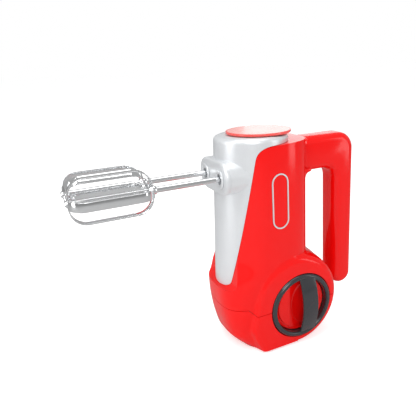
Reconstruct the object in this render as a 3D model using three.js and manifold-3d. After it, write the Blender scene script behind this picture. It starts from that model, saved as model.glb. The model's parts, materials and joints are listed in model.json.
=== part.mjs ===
// Hand mixer that stands on its own base. Millimetres, +Z up. The origin is where the motor axis meets
// the surface that the base stands on. The beaters point along -X, the handle is at +X and the winding
// dial of the cord reel faces -Y.
import * as THREE from 'three';
import { mergeVertices } from 'three/addons/utils/BufferGeometryUtils.js';
import Module from 'manifold-3d';

const wasm = await Module();
wasm.setup();

// ---------------------------------------------------------------- driving dimensions
const WALL = 2.6;                 // every moulded shell
const SEAM = 0.3;                 // gap between pieces that meet
const RUNNING = 0.4;              // radial clearance of a turning piece
const FAR = 400;                  // longer than the object, for cutting blocks

const COLUMN_RADIUS = 40;         // front of the motor column, at its top
const COLUMN_TOP = 243.5;
const FRONT_FLARE = 0.046;        // growth of the column towards the base, per mm
const SIDE_FLARE = 0.018;
const BODY_REAR = 57;             // flat back of the column
const BODY_REAR_FLAT = 8;
const SHOULDER = 5;               // rounding of the column's top edge
const COLUMN_FOOT = 66;           // the column ends inside the base, above its tuck

const CUT_FOOT = 80;              // silver front shell: lowest point of its tongue
const CUT_RISE = 0.193;           // slope of its side edge
const CUT_TOP_Z = COLUMN_TOP - 21.5;   // where the side edge starts to turn into the top edge
const CUT_TOP_X = -14.6;
const CAP_EDGE = COLUMN_TOP - 8.8;     // above this the column is a round silver cap
const CAP_REAR = 50;
const CAP_RISE = 1.6;              // how much the edge climbs towards the handle

const SPINDLE_SPACING = 36;
const SPINDLE_Z = COLUMN_TOP - 39.5;
const NOSE_FACE = -46.3;
const NOSE_HALF = 17.25;
const NOSE_ROUND = 2.4;
const COLLAR_RADIUS = 10.5;
const COLLAR_PROUD = 1.7;

const BASE_CLEAR = 1;             // the base is this far above the surface, on its feet
const BASE_BULGE_Z = 76;          // where the front of the base is fullest
const BASE_FRONT = 52;
const BASE_FRONT_TUCK = 15;       // how far the front is drawn in at the ground
const BASE_CHIN = 13;             // below BASE_CHIN_Z the front slopes in by this much more
const BASE_CHIN_Z = 20;
const BASE_SIDE = 42.5;
const BASE_SIDE_TUCK = 8;
const BASE_TOP = 114;

const HOUSING_X = 30.5;             // round reel housing, its axis along Y
const HOUSING_Z = 54;
const HOUSING_RADIUS = 55;
const HOUSING_FACE = 45;          // half its width
const HOUSING_FACE_RADIUS = 47;
const LEG_BULGE = 3;              // the housing's front below its axis: fullest at LEG_BEND
const LEG_BEND = 30;
const LEG_TUCK = 10;

const PARTING_Z = 50;             // between the main and lower casings
const PARTING_STEP = 8;           // the parting line steps up round the front
const PARTING_STEP_X = -22;

const REEL_X = 35.5;
const REEL_Z = 48;
const DIAL_RADIUS = 39;
const DIAL_INNER = 33;
const DIAL_PROUD = 2.4;
const STRAP_FROM = -3.5;          // edges of the strap, from the dial's centre
const STRAP_TO = 16.5;
const STRAP_ARCH = 9;
const STRAP_THICK = 3;
const HUB_RECESS = 6;
const FLANGE_RADIUS = 33.5;
const FLANGE_THICK = 2;
const REEL_NEAR = -30;
const REEL_FAR = 28;
const REEL_CORE = 13;
const REEL_AXLE = 4;

const HANDLE_TOP = COLUMN_TOP - 9;
const HANDLE_OUT = 130.5;
const HANDLE_GRIP = 28;           // depth of the grip along X
const HANDLE_ARM = 39.5;          // height of the arm
const HANDLE_HALF = 15;
const HANDLE_BOTTOM = 40;
const HANDLE_LEAN = -2.5;         // the grip leans out by this much at the bottom
const STRIP_THICK = 4;
const STRIP_DROP = 5;             // the strip ends this far below the top of the housing
const STRIP_BOTTOM = HOUSING_Z + HOUSING_RADIUS - STRIP_DROP;
const HANDLE_ROUND = 5;

const BEATER_TIP = -194.4;
const HEAD_REAR = -116;
const HEAD_RADIUS = 21.5;
const HEAD_CORNER = 16;
const STRIP_WIDTH = 9.5;
const BLADE_THICK = 1.2;
const BEATER_SHAFT = 3;
const BEATER_INSERT = 36;         // how deep the shaft goes into the spindle

const SPINDLE_RADIUS = 5;
const WORM_RADIUS = 4.3;
const WHEEL_TEETH = 24;
const WHEEL_WIDTH = 12;

const STACK_RADIUS = 29;          // motor core
const STACK_BOTTOM = 112;
const STACK_HEIGHT = 38;
const ARMATURE_RADIUS = 16;
const SHAFT_RADIUS = 3;
const POLE_HALF = 8;
const FAN_RADIUS = 25;

const KNOB_X = 9.6;
const KNOB_RADIUS = 35;
const KNOB_TOP = COLUMN_TOP + 3.3;
const KNOB_THICK = 3;
const KNOB_TRAVEL = 1.2;
const KNOB_RECESS = 1.3;          // the cap is sunk by this much under the knob

const SCREW_HEAD = 3;
const SCREW_SHANK = 1.5;

// ---------------------------------------------------------------- solids from geometries
function toSolid(geometry) {
  geometry.deleteAttribute('normal');
  geometry.deleteAttribute('uv');
  const merged = mergeVertices(geometry, 1e-4);
  const p = merged.attributes.position;
  const faces = [];
  let volume = 0;
  const a = new THREE.Vector3(), b = new THREE.Vector3(), c = new THREE.Vector3();
  for (let i = 0; i < merged.index.count; i += 3) {
    const [u, v, w] = [0, 1, 2].map((k) => merged.index.getX(i + k));
    if (u === v || v === w || w === u) continue;
    faces.push([u, v, w]);
    a.fromBufferAttribute(p, u);
    b.fromBufferAttribute(p, v);
    c.fromBufferAttribute(p, w);
    volume += a.dot(b.cross(c));
  }
  const triVerts = new Uint32Array(faces.flatMap(([u, v, w]) => (volume < 0 ? [u, w, v] : [u, v, w])));
  const vertProperties = new Float32Array(p.array);
  return new wasm.Manifold(new wasm.Mesh({ numProp: 3, vertProperties, triVerts }));
}

function toGeometry(solid) {
  const mesh = solid.getMesh();
  const geometry = new THREE.BufferGeometry();
  geometry.setAttribute('position', new THREE.BufferAttribute(new Float32Array(mesh.vertProperties), 3));
  geometry.setIndex(new THREE.BufferAttribute(new Uint32Array(mesh.triVerts), 1));
  geometry.computeVertexNormals();
  return geometry;
}

const X = new THREE.Vector3(1, 0, 0);
const Y = new THREE.Vector3(0, 1, 0);
const Z = new THREE.Vector3(0, 0, 1);
const basis = (a, b, c) => new THREE.Matrix4().makeBasis(a, b, c);

// A turned piece: [radius, height] pairs, its height along the named axis.
function revolve(profile, axis, segments = 24) {
  const geometry = new THREE.LatheGeometry(profile.map(([r, h]) => new THREE.Vector2(r, h)), segments);
  if (axis === 'z') geometry.rotateX(Math.PI / 2);
  if (axis === 'x') geometry.applyMatrix4(basis(Y, X, Z.clone().negate()));
  return toSolid(geometry);
}

const rod = (radius, from, to, axis, segments = 12) =>
  revolve([[0, from], [radius, from], [radius, to], [0, to]], axis, segments);

const ring = (outer, inner, from, to, axis, segments = 12) =>
  revolve([[inner, from], [outer, from], [outer, to], [inner, to], [inner, from]], axis, segments);

function block(x0, x1, y0, y1, z0, z1) {
  const geometry = new THREE.BoxGeometry(x1 - x0, y1 - y0, z1 - z0);
  return toSolid(geometry.translate((x0 + x1) / 2, (y0 + y1) / 2, (z0 + z1) / 2));
}

// A shape pushed along an axis. Across X the shape's axes are Y, Z; across Y they are X, Z; across Z, X, Y.
function prism(shape, axis, from, to, { round = 0, steps = 2, curve = 4 } = {}) {
  const geometry = new THREE.ExtrudeGeometry(shape, {
    depth: to - from - 2 * round, curveSegments: curve, bevelEnabled: round > 0,
    bevelSize: round, bevelThickness: round, bevelOffset: -round, bevelSegments: steps,
  });
  if (axis === 'z') geometry.translate(0, 0, from + round);
  if (axis === 'x') geometry.applyMatrix4(basis(Y, Z, X)).translate(from + round, 0, 0);
  if (axis === 'y') geometry.rotateX(Math.PI / 2).translate(0, to - round, 0);
  return geometry;
}

function stadium(halfLength, radius, across = true) {
  const shape = new THREE.Shape();
  if (across) {
    shape.absarc(halfLength, 0, radius, -Math.PI / 2, Math.PI / 2, false);
    shape.absarc(-halfLength, 0, radius, Math.PI / 2, 1.5 * Math.PI, false);
  } else {
    shape.absarc(0, halfLength, radius, 0, Math.PI, false);
    shape.absarc(0, -halfLength, radius, Math.PI, 2 * Math.PI, false);
  }
  shape.closePath();
  return shape;
}

function roundedRectangle(x0, x1, y0, y1, r) {
  const shape = new THREE.Shape();
  shape.absarc(x1 - r, y0 + r, r, -Math.PI / 2, 0, false);
  shape.absarc(x1 - r, y1 - r, r, 0, Math.PI / 2, false);
  shape.absarc(x0 + r, y1 - r, r, Math.PI / 2, Math.PI, false);
  shape.absarc(x0 + r, y0 + r, r, Math.PI, 1.5 * Math.PI, false);
  shape.closePath();
  return shape;
}

const join = (...solids) => solids.reduce((whole, solid) => whole.add(solid));
const cut = (solid, ...tools) => tools.reduce((rest, tool) => rest.subtract(tool), solid);

// ---------------------------------------------------------------- outer form, at an inset
const frontRadius = (z) => COLUMN_RADIUS + FRONT_FLARE * (CAP_EDGE - z);
const sideRadius = (z) => COLUMN_RADIUS + SIDE_FLARE * (CAP_EDGE - z);

function columnOutline(inset) {
  const r = COLUMN_RADIUS - inset;
  const rear = BODY_REAR - inset;
  const shape = new THREE.Shape();
  shape.moveTo(0, -r);
  shape.bezierCurveTo(rear / 2, -r, rear, -r, rear, -BODY_REAR_FLAT);
  shape.lineTo(rear, BODY_REAR_FLAT);
  shape.bezierCurveTo(rear, r, rear / 2, r, 0, r);
  shape.absarc(0, 0, r, Math.PI / 2, 1.5 * Math.PI, false);
  return shape;
}

function columnForm(inset) {
  const geometry = prism(columnOutline(inset), 'z', COLUMN_FOOT + inset, COLUMN_TOP - inset,
    { round: SHOULDER, curve: inset < WALL ? 7 : 3, steps: inset < WALL ? 2 : 1 });
  const p = geometry.attributes.position;
  for (let i = 0; i < p.count; i++) {
    const [x, y, z] = [p.getX(i), p.getY(i), p.getZ(i)];
    p.setX(i, x < 0 ? x * frontRadius(z) / COLUMN_RADIUS : x);
    p.setY(i, y * sideRadius(z) / COLUMN_RADIUS);
  }
  return toSolid(geometry);
}

// The base's front: rounded-square sections that bulge in the middle and turn round at the top.
function baseForm(inset) {
  const bottom = BASE_CLEAR + inset, top = BASE_TOP;
  const geometry = new THREE.CylinderGeometry(1, 1, top - bottom, inset ? 16 : 32, inset ? 3 : 6);
  geometry.rotateX(Math.PI / 2).translate(0, 0, (top + bottom) / 2);
  const p = geometry.attributes.position;
  for (let i = 0; i < p.count; i++) {
    const z = p.getZ(i);
    const angle = Math.atan2(p.getY(i), p.getX(i));
    const lean = ((z - BASE_BULGE_Z) / BASE_BULGE_Z) ** 2;
    const chin = BASE_CHIN * Math.min(1, Math.max(0, (BASE_CHIN_Z - z) / (BASE_CHIN_Z - BASE_CLEAR)));
    const front = BASE_FRONT - BASE_FRONT_TUCK * lean - chin - inset;
    const side = BASE_SIDE - BASE_SIDE_TUCK * lean - inset;
    const power = 3.2 - 1.2 * THREE.MathUtils.smoothstep(z, BASE_BULGE_Z + 4, BASE_TOP + 1);
    const reach = (Math.abs(Math.cos(angle)) / front) ** power + (Math.abs(Math.sin(angle)) / side) ** power;
    const r = Math.hypot(p.getX(i), p.getY(i)) * reach ** (-1 / power);
    p.setX(i, r * Math.cos(angle));
    p.setY(i, r * Math.sin(angle));
  }
  return toSolid(geometry);
}

// Below its axis the housing's front runs down to the ground instead of curving in.
function legForm(inset) {
  const left = HOUSING_X - HOUSING_RADIUS + inset, low = BASE_CLEAR + inset;
  const shape = new THREE.Shape();
  shape.moveTo(HOUSING_X, low);
  shape.lineTo(HOUSING_X, HOUSING_Z);
  shape.lineTo(left - LEG_BULGE / 2, HOUSING_Z);
  shape.lineTo(left - LEG_BULGE, LEG_BEND);
  shape.lineTo(left - LEG_BULGE / 2 + LEG_TUCK * 0.4, LEG_BEND * 0.5);
  shape.lineTo(left + LEG_TUCK, low);
  shape.closePath();
  return toSolid(prism(shape, 'y', -HOUSING_FACE + inset, HOUSING_FACE - inset, { round: inset ? 1 : 3, steps: 1 }));
}

function housingForm(inset) {
  const half = HOUSING_FACE - inset;
  const r = HOUSING_RADIUS - inset;
  const edge = HOUSING_FACE_RADIUS - inset / 2;
  const profile = [
    [0, -half], [edge, -half], [edge + 4, -half + 1], [r - 1, -half + 4], [r, -half + 8],
    [r, half - 8], [r - 1, half - 4], [edge + 4, half - 1], [edge, half], [0, half],
  ];
  const round = revolve(profile, 'y', inset ? 20 : 40).translate([HOUSING_X, 0, HOUSING_Z]);
  return join(round.intersect(block(-FAR, FAR, -FAR, FAR, BASE_CLEAR + inset, FAR)), legForm(inset));
}

const casingForm = (inset) => join(columnForm(inset), baseForm(inset), housingForm(inset));

// The hollow inside the casings stops below the front shell's tongue, which stands on the ledge it leaves.
function casingHollow() {
  const base = baseForm(WALL).intersect(block(-FAR, FAR, -FAR, FAR, -FAR, CUT_FOOT - WALL));
  return join(columnForm(WALL), base, housingForm(WALL));
}

function noseForm(inset) {
  const shape = stadium(SPINDLE_SPACING / 2, NOSE_HALF - inset);
  const rear = -18;
  return toSolid(prism(shape, 'x', NOSE_FACE + inset, rear, { round: NOSE_ROUND, curve: 6 }))
    .translate([0, 0, SPINDLE_Z]);
}

// Side views of the parting lines, as blocks that reach right across the object.
function frontRegion(gap) {
  const slant = (z) => CUT_TOP_X - CUT_RISE * (CUT_TOP_Z - z);
  const shape = new THREE.Shape();
  shape.moveTo(-FAR, CUT_FOOT);
  shape.lineTo(-COLUMN_RADIUS - 12, CUT_FOOT);
  shape.quadraticCurveTo(slant(CUT_FOOT), CUT_FOOT, slant(CUT_FOOT + 9), CUT_FOOT + 9);
  shape.lineTo(CUT_TOP_X, CUT_TOP_Z);
  shape.quadraticCurveTo(slant(CAP_EDGE), CAP_EDGE - 1, 4, CAP_EDGE);
  shape.lineTo(CAP_REAR, CAP_EDGE + CAP_RISE);
  shape.lineTo(FAR, CAP_EDGE + CAP_RISE);
  shape.lineTo(FAR, FAR);
  shape.lineTo(-FAR, FAR);
  shape.closePath();
  return toSolid(prism(shape, 'y', -FAR, FAR)).translate([-gap, 0, gap]);
}

function lowerRegion(gap) {
  const z = PARTING_Z + gap;
  const shape = new THREE.Shape();
  shape.moveTo(-FAR, -FAR);
  shape.lineTo(FAR, -FAR);
  shape.lineTo(FAR, z);
  shape.lineTo(PARTING_STEP_X, z);
  shape.lineTo(PARTING_STEP_X - PARTING_STEP, z + PARTING_STEP);
  shape.lineTo(-FAR, z + PARTING_STEP);
  shape.closePath();
  return toSolid(prism(shape, 'y', -FAR, FAR));
}

// ---------------------------------------------------------------- named pieces
const mixer = new THREE.Group();

function piece(name, solid, look) {
  const mesh = new THREE.Mesh(toGeometry(solid), new THREE.MeshStandardMaterial(look));
  mesh.name = name;
  mixer.add(mesh);
}

const RED = { color: 0xd91812, roughness: 0.2, metalness: 0 };
const SILVER = { color: 0xcfd1d3, roughness: 0.35, metalness: 0.6 };
const GREY = { color: 0x3c3d40, roughness: 0.25, metalness: 0 };
const CHROME = { color: 0xe4e6e8, roughness: 0.1, metalness: 1 };
const STEEL = { color: 0xa9acb0, roughness: 0.4, metalness: 1 };
const LAMINATION = { color: 0x6b6e72, roughness: 0.5, metalness: 0.9 };
const COPPER = { color: 0xb5673a, roughness: 0.35, metalness: 1 };
const BRASS = { color: 0xb89a55, roughness: 0.35, metalness: 1 };
const NYLON = { color: 0xe6e2d6, roughness: 0.5, metalness: 0 };
const BLACK = { color: 0x1b1b1d, roughness: 0.5, metalness: 0 };
const RUBBER = { color: 0x242426, roughness: 0.9, metalness: 0 };
const BOARD = { color: 0x2f6b3c, roughness: 0.5, metalness: 0 };
const CARBON = { color: 0x202022, roughness: 0.7, metalness: 0.1 };

const SIDES = [['near', -1], ['far', 1]];

// ---------------------------------------------------------------- casings
const collarSeat = COLLAR_RADIUS - 2.2;      // the collar's spigot goes through the nose at this radius
const dialHole = DIAL_RADIUS + RUNNING * 2;
const hubRadius = SHAFT_RADIUS + 4.4;        // knob stem's flange, which comes up through the cap
const capHole = hubRadius + RUNNING;

const outer = casingForm(0);
const inner = casingHollow();

// The cap is round, so behind the motor axis it stands clear of the casing's rear.
const capForm = (inset) => revolve([
  [0, CAP_EDGE - 10], [COLUMN_RADIUS - inset, CAP_EDGE - 10], [COLUMN_RADIUS - inset, COLUMN_TOP - SHOULDER - inset / 4],
  [COLUMN_RADIUS - inset - SHOULDER * 0.3, COLUMN_TOP - inset - SHOULDER * 0.3],
  [COLUMN_RADIUS - inset - SHOULDER, COLUMN_TOP - inset], [0, COLUMN_TOP - inset]], 'z', 32);

function frontShell() {
  const column = columnForm(0).subtract(columnForm(WALL)).intersect(block(-FAR, 0.5, -FAR, FAR, 0, FAR));
  const cap = capForm(0).subtract(capForm(WALL)).intersect(block(0, FAR, -FAR, FAR, 0, FAR));
  const shell = join(column, cap, noseForm(0)).subtract(
    join(columnForm(WALL), noseForm(WALL)).intersect(block(-FAR, 0, -FAR, FAR, 0, FAR)));
  const holes = SIDES.map(([, side]) =>
    rod(collarSeat, NOSE_FACE - 5, NOSE_FACE + 10, 'x').translate([0, side * SPINDLE_SPACING / 2, SPINDLE_Z]));
  const recess = rod(KNOB_RADIUS + 0.6, COLUMN_TOP - KNOB_RECESS, COLUMN_TOP + 5, 'z', 24);
  const stemHole = rod(capHole, COLUMN_TOP - 10, COLUMN_TOP + 5, 'z');
  return cut(shell.intersect(frontRegion(SEAM)), ...holes,
    recess.translate([KNOB_X, 0, 0]), stemHole.translate([KNOB_X, 0, 0]));
}
piece('front_shell', frontShell(), SILVER);

// The badge is a plain stadium outline let into a groove in the near side.
const BADGE_X = 11.5, BADGE_Z = COLUMN_TOP - 67.5, BADGE_HALF_LENGTH = 20, BADGE_HALF_WIDTH = 10, BADGE_LINE = 1.4;
const BADGE_DEPTH = 0.6, BADGE_PROUD = 0.5;
function badgeLoop(slack) {
  const shape = stadium(BADGE_HALF_LENGTH, BADGE_HALF_WIDTH + slack, false);
  shape.holes.push(stadium(BADGE_HALF_LENGTH, BADGE_HALF_WIDTH - BADGE_LINE - slack, false));
  return toSolid(prism(shape, 'y', -FAR, 0, { curve: 4 })).translate([BADGE_X, 0, BADGE_Z]);
}
const badgeFrame = badgeLoop(0).intersect(columnForm(-BADGE_PROUD)).subtract(columnForm(BADGE_DEPTH));
const badgeGroove = badgeLoop(SEAM).subtract(columnForm(BADGE_DEPTH + SEAM));

const dialOpening = rod(dialHole, -FAR, 0, 'y', 36).translate([REEL_X, 0, REEL_Z]);

// Air leaves the motor through slots in the far side of the main casing.
const VENTS = 6, VENT_PITCH = 6.5, VENT_WIDTH = 2.6, VENT_LENGTH = 26, VENT_BOTTOM = 112;
const vents = Array.from({ length: VENTS }, (_, i) => {
  const z = VENT_BOTTOM + i * VENT_PITCH;
  return block(0, VENT_LENGTH, 20, FAR, z, z + VENT_WIDTH);
});

function mainCasing() {
  const roof = columnForm(0).intersect(frontRegion(-WALL)).intersect(block(0, FAR, -FAR, FAR, 0, FAR))
    .subtract(rod(COLUMN_RADIUS - 4, CAP_EDGE - 10, FAR, 'z', 32));
  const shell = join(outer.subtract(inner), roof);
  const screwHoles = [HANDLE_TOP - 28.5, HANDLE_TOP - 50.5].map((z) => rod(SCREW_SHANK + SEAM, BODY_REAR - 9, FAR, 'x', 12).translate([0, 0, z]));
  return cut(shell, frontRegion(0), lowerRegion(SEAM), badgeGroove, dialOpening, ...vents, ...screwHoles);
}
piece('main_casing', mainCasing(), RED);
piece('badge_frame', badgeFrame, SILVER);

const PLATE_FRONT = -20, PLATE_REAR = 42, PLATE_HALF = 26, PLATE_CORNER = 10, PLATE_THICK = WALL;
const GLAND_TURN = 36, GLAND_RADIUS = 5;     // degrees below the housing's axis, at the back
const atGland = (solid) => solid.rotate([0, GLAND_TURN, 0]).translate([HOUSING_X, 0, HOUSING_Z]);
const plateOutline = (slack) => roundedRectangle(
  PLATE_FRONT - slack, PLATE_REAR + slack, -PLATE_HALF - slack, PLATE_HALF + slack, PLATE_CORNER + slack);

function lowerCasing() {
  const shell = outer.subtract(inner).intersect(lowerRegion(0));
  const plateHole = toSolid(prism(plateOutline(SEAM), 'z', -5, BASE_CLEAR + 12));
  const glandHole = atGland(rod(GLAND_RADIUS + SEAM, HOUSING_RADIUS - 12, FAR, 'x'));
  return cut(shell, dialOpening, plateHole, glandHole);
}
piece('lower_casing', lowerCasing(), RED);

// Base plate: closes the bottom, carries the feet in shallow pockets and has a row of air slots.
const FEET = [['foot_front', -16, 8, 20], ['foot_rear', 30, 38, 20]];
const FOOT_SINK = 1, PLATE_SLOTS = 5, PLATE_SLOT_PITCH = 8;
const BASE_SCREWS = [[19, -20], [19, 20], [-18, 0]];
const footOutline = ([, x0, x1, half], slack) => roundedRectangle(x0 - slack, x1 + slack, -half - slack,
  half + slack, 3 + slack);

function basePlate() {
  const top = BASE_CLEAR + PLATE_THICK;
  const plate = toSolid(prism(plateOutline(0), 'z', BASE_CLEAR, top));
  const pockets = FEET.map((foot) => toSolid(prism(footOutline(foot, SEAM), 'z', 0, BASE_CLEAR + FOOT_SINK)));
  const slots = Array.from({ length: PLATE_SLOTS }, (_, i) => {
    const y = (i - (PLATE_SLOTS - 1) / 2) * PLATE_SLOT_PITCH * 0.75;
    return block(12, 26, y - 1.3, y + 1.3, 0, top + 1);
  });
  const holes = BASE_SCREWS.map(([x, y]) => rod(SCREW_SHANK + SEAM, 0, top + 1, 'z', 12).translate([x, y, 0]));
  return cut(plate, ...pockets, ...slots, ...holes);
}
piece('base_plate', basePlate(), BLACK);
for (const foot of FEET) {
  piece(foot[0], toSolid(prism(footOutline(foot, 0), 'z', 0, BASE_CLEAR + FOOT_SINK - SEAM / 2)), RUBBER);
}

function screw(length, axis, direction) {
  const head = rod(SCREW_HEAD, 0, 1.8 * direction, axis, 8);
  return join(head, rod(SCREW_SHANK, -length * direction, 0.5 * direction, axis, 6));
}
BASE_SCREWS.forEach(([x, y], i) => {
  const top = BASE_CLEAR + PLATE_THICK + SEAM;
  piece(`base_screw_${i + 1}`, screw(PLATE_THICK + 1, 'z', 1).translate([x, y, top]), STEEL);
});

function cordGland() {
  const face = HOUSING_RADIUS + SEAM;
  const sleeve = ring(GLAND_RADIUS, 3.2, face - 8, face + 7, 'x');
  return atGland(join(sleeve, ring(GLAND_RADIUS + 2.5, 3.2, face, face + 2.5, 'x')));
}
piece('cord_gland', cordGland(), RUBBER);

// ---------------------------------------------------------------- handle, in two halves
const stripX = BODY_REAR + SEAM;
const gripInner = HANDLE_OUT - HANDLE_GRIP;
const armBottom = HANDLE_TOP - HANDLE_ARM;

function gripOutline(inset) {
  const out = HANDLE_OUT - inset, within = gripInner + inset, low = HANDLE_BOTTOM + inset;
  const top = HANDLE_TOP - inset, under = armBottom + inset;
  const toe = HANDLE_GRIP / 2 - inset;
  const lean = HANDLE_LEAN;
  const shape = new THREE.Shape();
  shape.moveTo(stripX + inset, under);
  shape.lineTo(within - 12, under);
  shape.quadraticCurveTo(within, under, within, under - 12);
  shape.lineTo(within - lean, low + toe);
  shape.absarc(within - lean + toe, low + toe, toe, Math.PI, 2 * Math.PI, false);
  shape.lineTo(out, top - 20);
  shape.absarc(out - 20, top - 20, 20, 0, Math.PI / 2, false);
  shape.lineTo(stripX + inset, top);
  shape.closePath();
  return shape;
}
const grip = (inset) => toSolid(prism(gripOutline(inset), 'y', -HANDLE_HALF + inset, HANDLE_HALF - inset,
  { round: HANDLE_ROUND - inset / 2, curve: inset ? 2 : 4, steps: inset ? 1 : 2 }));

const HANDLE_SCREWS = [[HANDLE_OUT - 12, 72], [HANDLE_OUT - 12, 150], [BODY_REAR + 13, HANDLE_TOP - 18.5]];

function handleHalf(side) {
  const web = new THREE.Shape();               // fills the corner between the arm and the strip
  const right = stripX + STRIP_THICK;
  web.moveTo(stripX, STRIP_BOTTOM);
  web.lineTo(right, STRIP_BOTTOM);
  web.lineTo(right, armBottom - 8);
  web.quadraticCurveTo(right, armBottom, right + 8, armBottom);
  web.lineTo(right + 8, armBottom + 4);
  web.lineTo(stripX, armBottom + 4);
  web.closePath();
  const strip = toSolid(prism(web, 'y', -HANDLE_HALF, HANDLE_HALF));
  const bosses = HANDLE_SCREWS.map(([x, z]) =>
    rod(SCREW_HEAD + 1.2, -HANDLE_HALF + WALL / 2, HANDLE_HALF - WALL / 2, 'y', 8).translate([x, 0, z]));
  const hollow = grip(WALL).subtract(join(...bosses));
  const half = side < 0 ? block(-FAR, FAR, -FAR, -SEAM / 2, 0, FAR) : block(-FAR, FAR, SEAM / 2, FAR, 0, FAR);
  const shanks = HANDLE_SCREWS.map(([x, z]) => rod(SCREW_SHANK + SEAM, -6, FAR, 'y', 6).translate([x, 0, z]));
  const sinks = HANDLE_SCREWS.map(([x, z]) => rod(SCREW_HEAD + SEAM, HANDLE_HALF - 3, FAR, 'y', 8)
    .translate([x, 0, z]));
  return cut(join(grip(0), strip).subtract(hollow).intersect(half), ...shanks, ...sinks);
}
piece('handle_half_near', handleHalf(-1), RED);
piece('handle_half_far', handleHalf(1), RED);
HANDLE_SCREWS.forEach(([x, z], i) => {
  piece(`handle_screw_${i + 1}`, screw(HANDLE_HALF, 'y', 1).translate([x, HANDLE_HALF - 3 + SEAM, z]), STEEL);
});

// ---------------------------------------------------------------- nose, spindles, worm drive and beaters
const SPINDLE_REAR = 24;
const FRAME_FRONT = -36, FRAME_REAR = 16, FRAME_PLATE = 4;
const BUSH_RADIUS = 7.5;
const FRAME_FLOOR = SPINDLE_Z - 26, FRAME_TOP = SPINDLE_Z + 17, FRAME_HALF = 32;
const wheelRadius = SPINDLE_SPACING / 2 - WORM_RADIUS - 0.3;
const BEARING_RADIUS = 8, BEARING_HEIGHT = 5;

function toothedWheel(radius, teeth, depth, from, to, bore) {
  const shape = new THREE.Shape();
  const turn = 2 * Math.PI / teeth;
  for (let i = 0; i < teeth; i++) {
    const at = (r, part) => [r * Math.cos((i + part) * turn), r * Math.sin((i + part) * turn)];
    if (i === 0) shape.moveTo(...at(radius - depth, 0));
    else shape.lineTo(...at(radius - depth, 0));
    shape.lineTo(...at(radius, 0.25));
    shape.lineTo(...at(radius, 0.5));
    shape.lineTo(...at(radius - depth, 0.75));
  }
  shape.closePath();
  shape.holes.push(new THREE.Path().absarc(0, 0, bore, 0, 2 * Math.PI, true));
  return toSolid(prism(shape, 'x', from, to, { curve: 6 }));
}

function spindle() {
  const socket = BEATER_SHAFT + SEAM;
  const bottom = NOSE_FACE + BEATER_INSERT + 3;
  return revolve([
    [socket, NOSE_FACE + 1], [SPINDLE_RADIUS, NOSE_FACE + 1], [SPINDLE_RADIUS, SPINDLE_REAR],
    [0, SPINDLE_REAR], [0, bottom], [socket, bottom], [socket, NOSE_FACE + 1],
  ], 'x', 12);
}

function collar() {
  const bore = SPINDLE_RADIUS + RUNNING;
  const seat = collarSeat - SEAM;
  const lip = NOSE_FACE - COLLAR_PROUD;
  return revolve([
    [bore, lip + 0.6], [bore + 0.6, lip], [COLLAR_RADIUS - 0.8, lip], [COLLAR_RADIUS, lip + 0.8],
    [COLLAR_RADIUS, NOSE_FACE - SEAM], [seat, NOSE_FACE - SEAM], [seat, NOSE_FACE + 4],
    [bore, NOSE_FACE + 4], [bore, lip + 0.6],
  ], 'x', 16);
}

function bush(plateFrom, flangeSide) {
  const bore = SPINDLE_RADIUS + RUNNING;
  const body = ring(BUSH_RADIUS, bore, plateFrom, plateFrom + FRAME_PLATE, 'x');
  const face = flangeSide < 0 ? plateFrom - SEAM : plateFrom + FRAME_PLATE + SEAM;
  const flange = ring(BUSH_RADIUS + 1.5, bore, Math.min(face, face + 1.5 * flangeSide),
    Math.max(face, face + 1.5 * flangeSide), 'x');
  const neck = ring(BUSH_RADIUS, bore, Math.min(face, plateFrom + FRAME_PLATE), Math.max(face, plateFrom), 'x');
  return join(body, neck, flange);
}

function gearFrame() {
  const floor = block(FRAME_FRONT, FRAME_REAR + FRAME_PLATE, -FRAME_HALF, FRAME_HALF, FRAME_FLOOR,
    FRAME_FLOOR + FRAME_PLATE);
  const plates = [FRAME_FRONT, FRAME_REAR].map((x) =>
    block(x, x + FRAME_PLATE, -FRAME_HALF, FRAME_HALF, FRAME_FLOOR, FRAME_TOP));
  const seat = rod(BEARING_RADIUS + 3, FRAME_FLOOR - 4, FRAME_FLOOR + 1, 'z', 16);
  const holes = SIDES.map(([, side]) => rod(BUSH_RADIUS + SEAM, -FAR, FAR, 'x').translate([0,
    side * SPINDLE_SPACING / 2, SPINDLE_Z]));
  const bearingSeat = rod(BEARING_RADIUS + SEAM, FRAME_FLOOR - 5, FRAME_FLOOR - 4 + BEARING_HEIGHT + SEAM, 'z', 16);
  const shaftHole = rod(BEARING_RADIUS - 2, FRAME_FLOOR - 5, FRAME_FLOOR + 9, 'z', 12);
  const rounded = columnForm(WALL + 1.2);
  return cut(join(floor, ...plates, seat), ...holes, bearingSeat, shaftHole).intersect(rounded);
}
piece('gear_frame', gearFrame(), BLACK);

// A beater head: two closed loops of flat strip crossing on the shaft.
function beater(phase) {
  const half = (HEAD_REAR + BEATER_TIP + 4) / 2;
  const long = (HEAD_REAR - BEATER_TIP - 4) / 2;
  const outline = (inset) => roundedRectangle(-long + inset, long - inset, -HEAD_RADIUS + inset,
    HEAD_RADIUS - inset, HEAD_CORNER - inset);
  const loop = outline(0);
  loop.holes.push(outline(BLADE_THICK));
  const strip = toSolid(prism(loop, 'y', -STRIP_WIDTH / 2, STRIP_WIDTH / 2, { curve: 3 })).translate([half, 0, 0]);
  const shaft = rod(BEATER_SHAFT, BEATER_TIP, NOSE_FACE + BEATER_INSERT, 'x', 8);
  const rearHub = revolve([[0, HEAD_REAR - 3], [4.6, HEAD_REAR - 3], [4.6, HEAD_REAR + 1.5], [3.8, HEAD_REAR + 4],
    [0, HEAD_REAR + 4]], 'x', 10);
  const tipHub = revolve([[0, BEATER_TIP + 1], [3.6, BEATER_TIP + 1], [3.6, BEATER_TIP + 5], [0, BEATER_TIP + 5]],
    'x', 10);
  const cage = join(strip, strip.rotate([90, 0, 0]), shaft, rearHub, tipHub);
  return cage.rotate([phase, 0, 0]);
}

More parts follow.
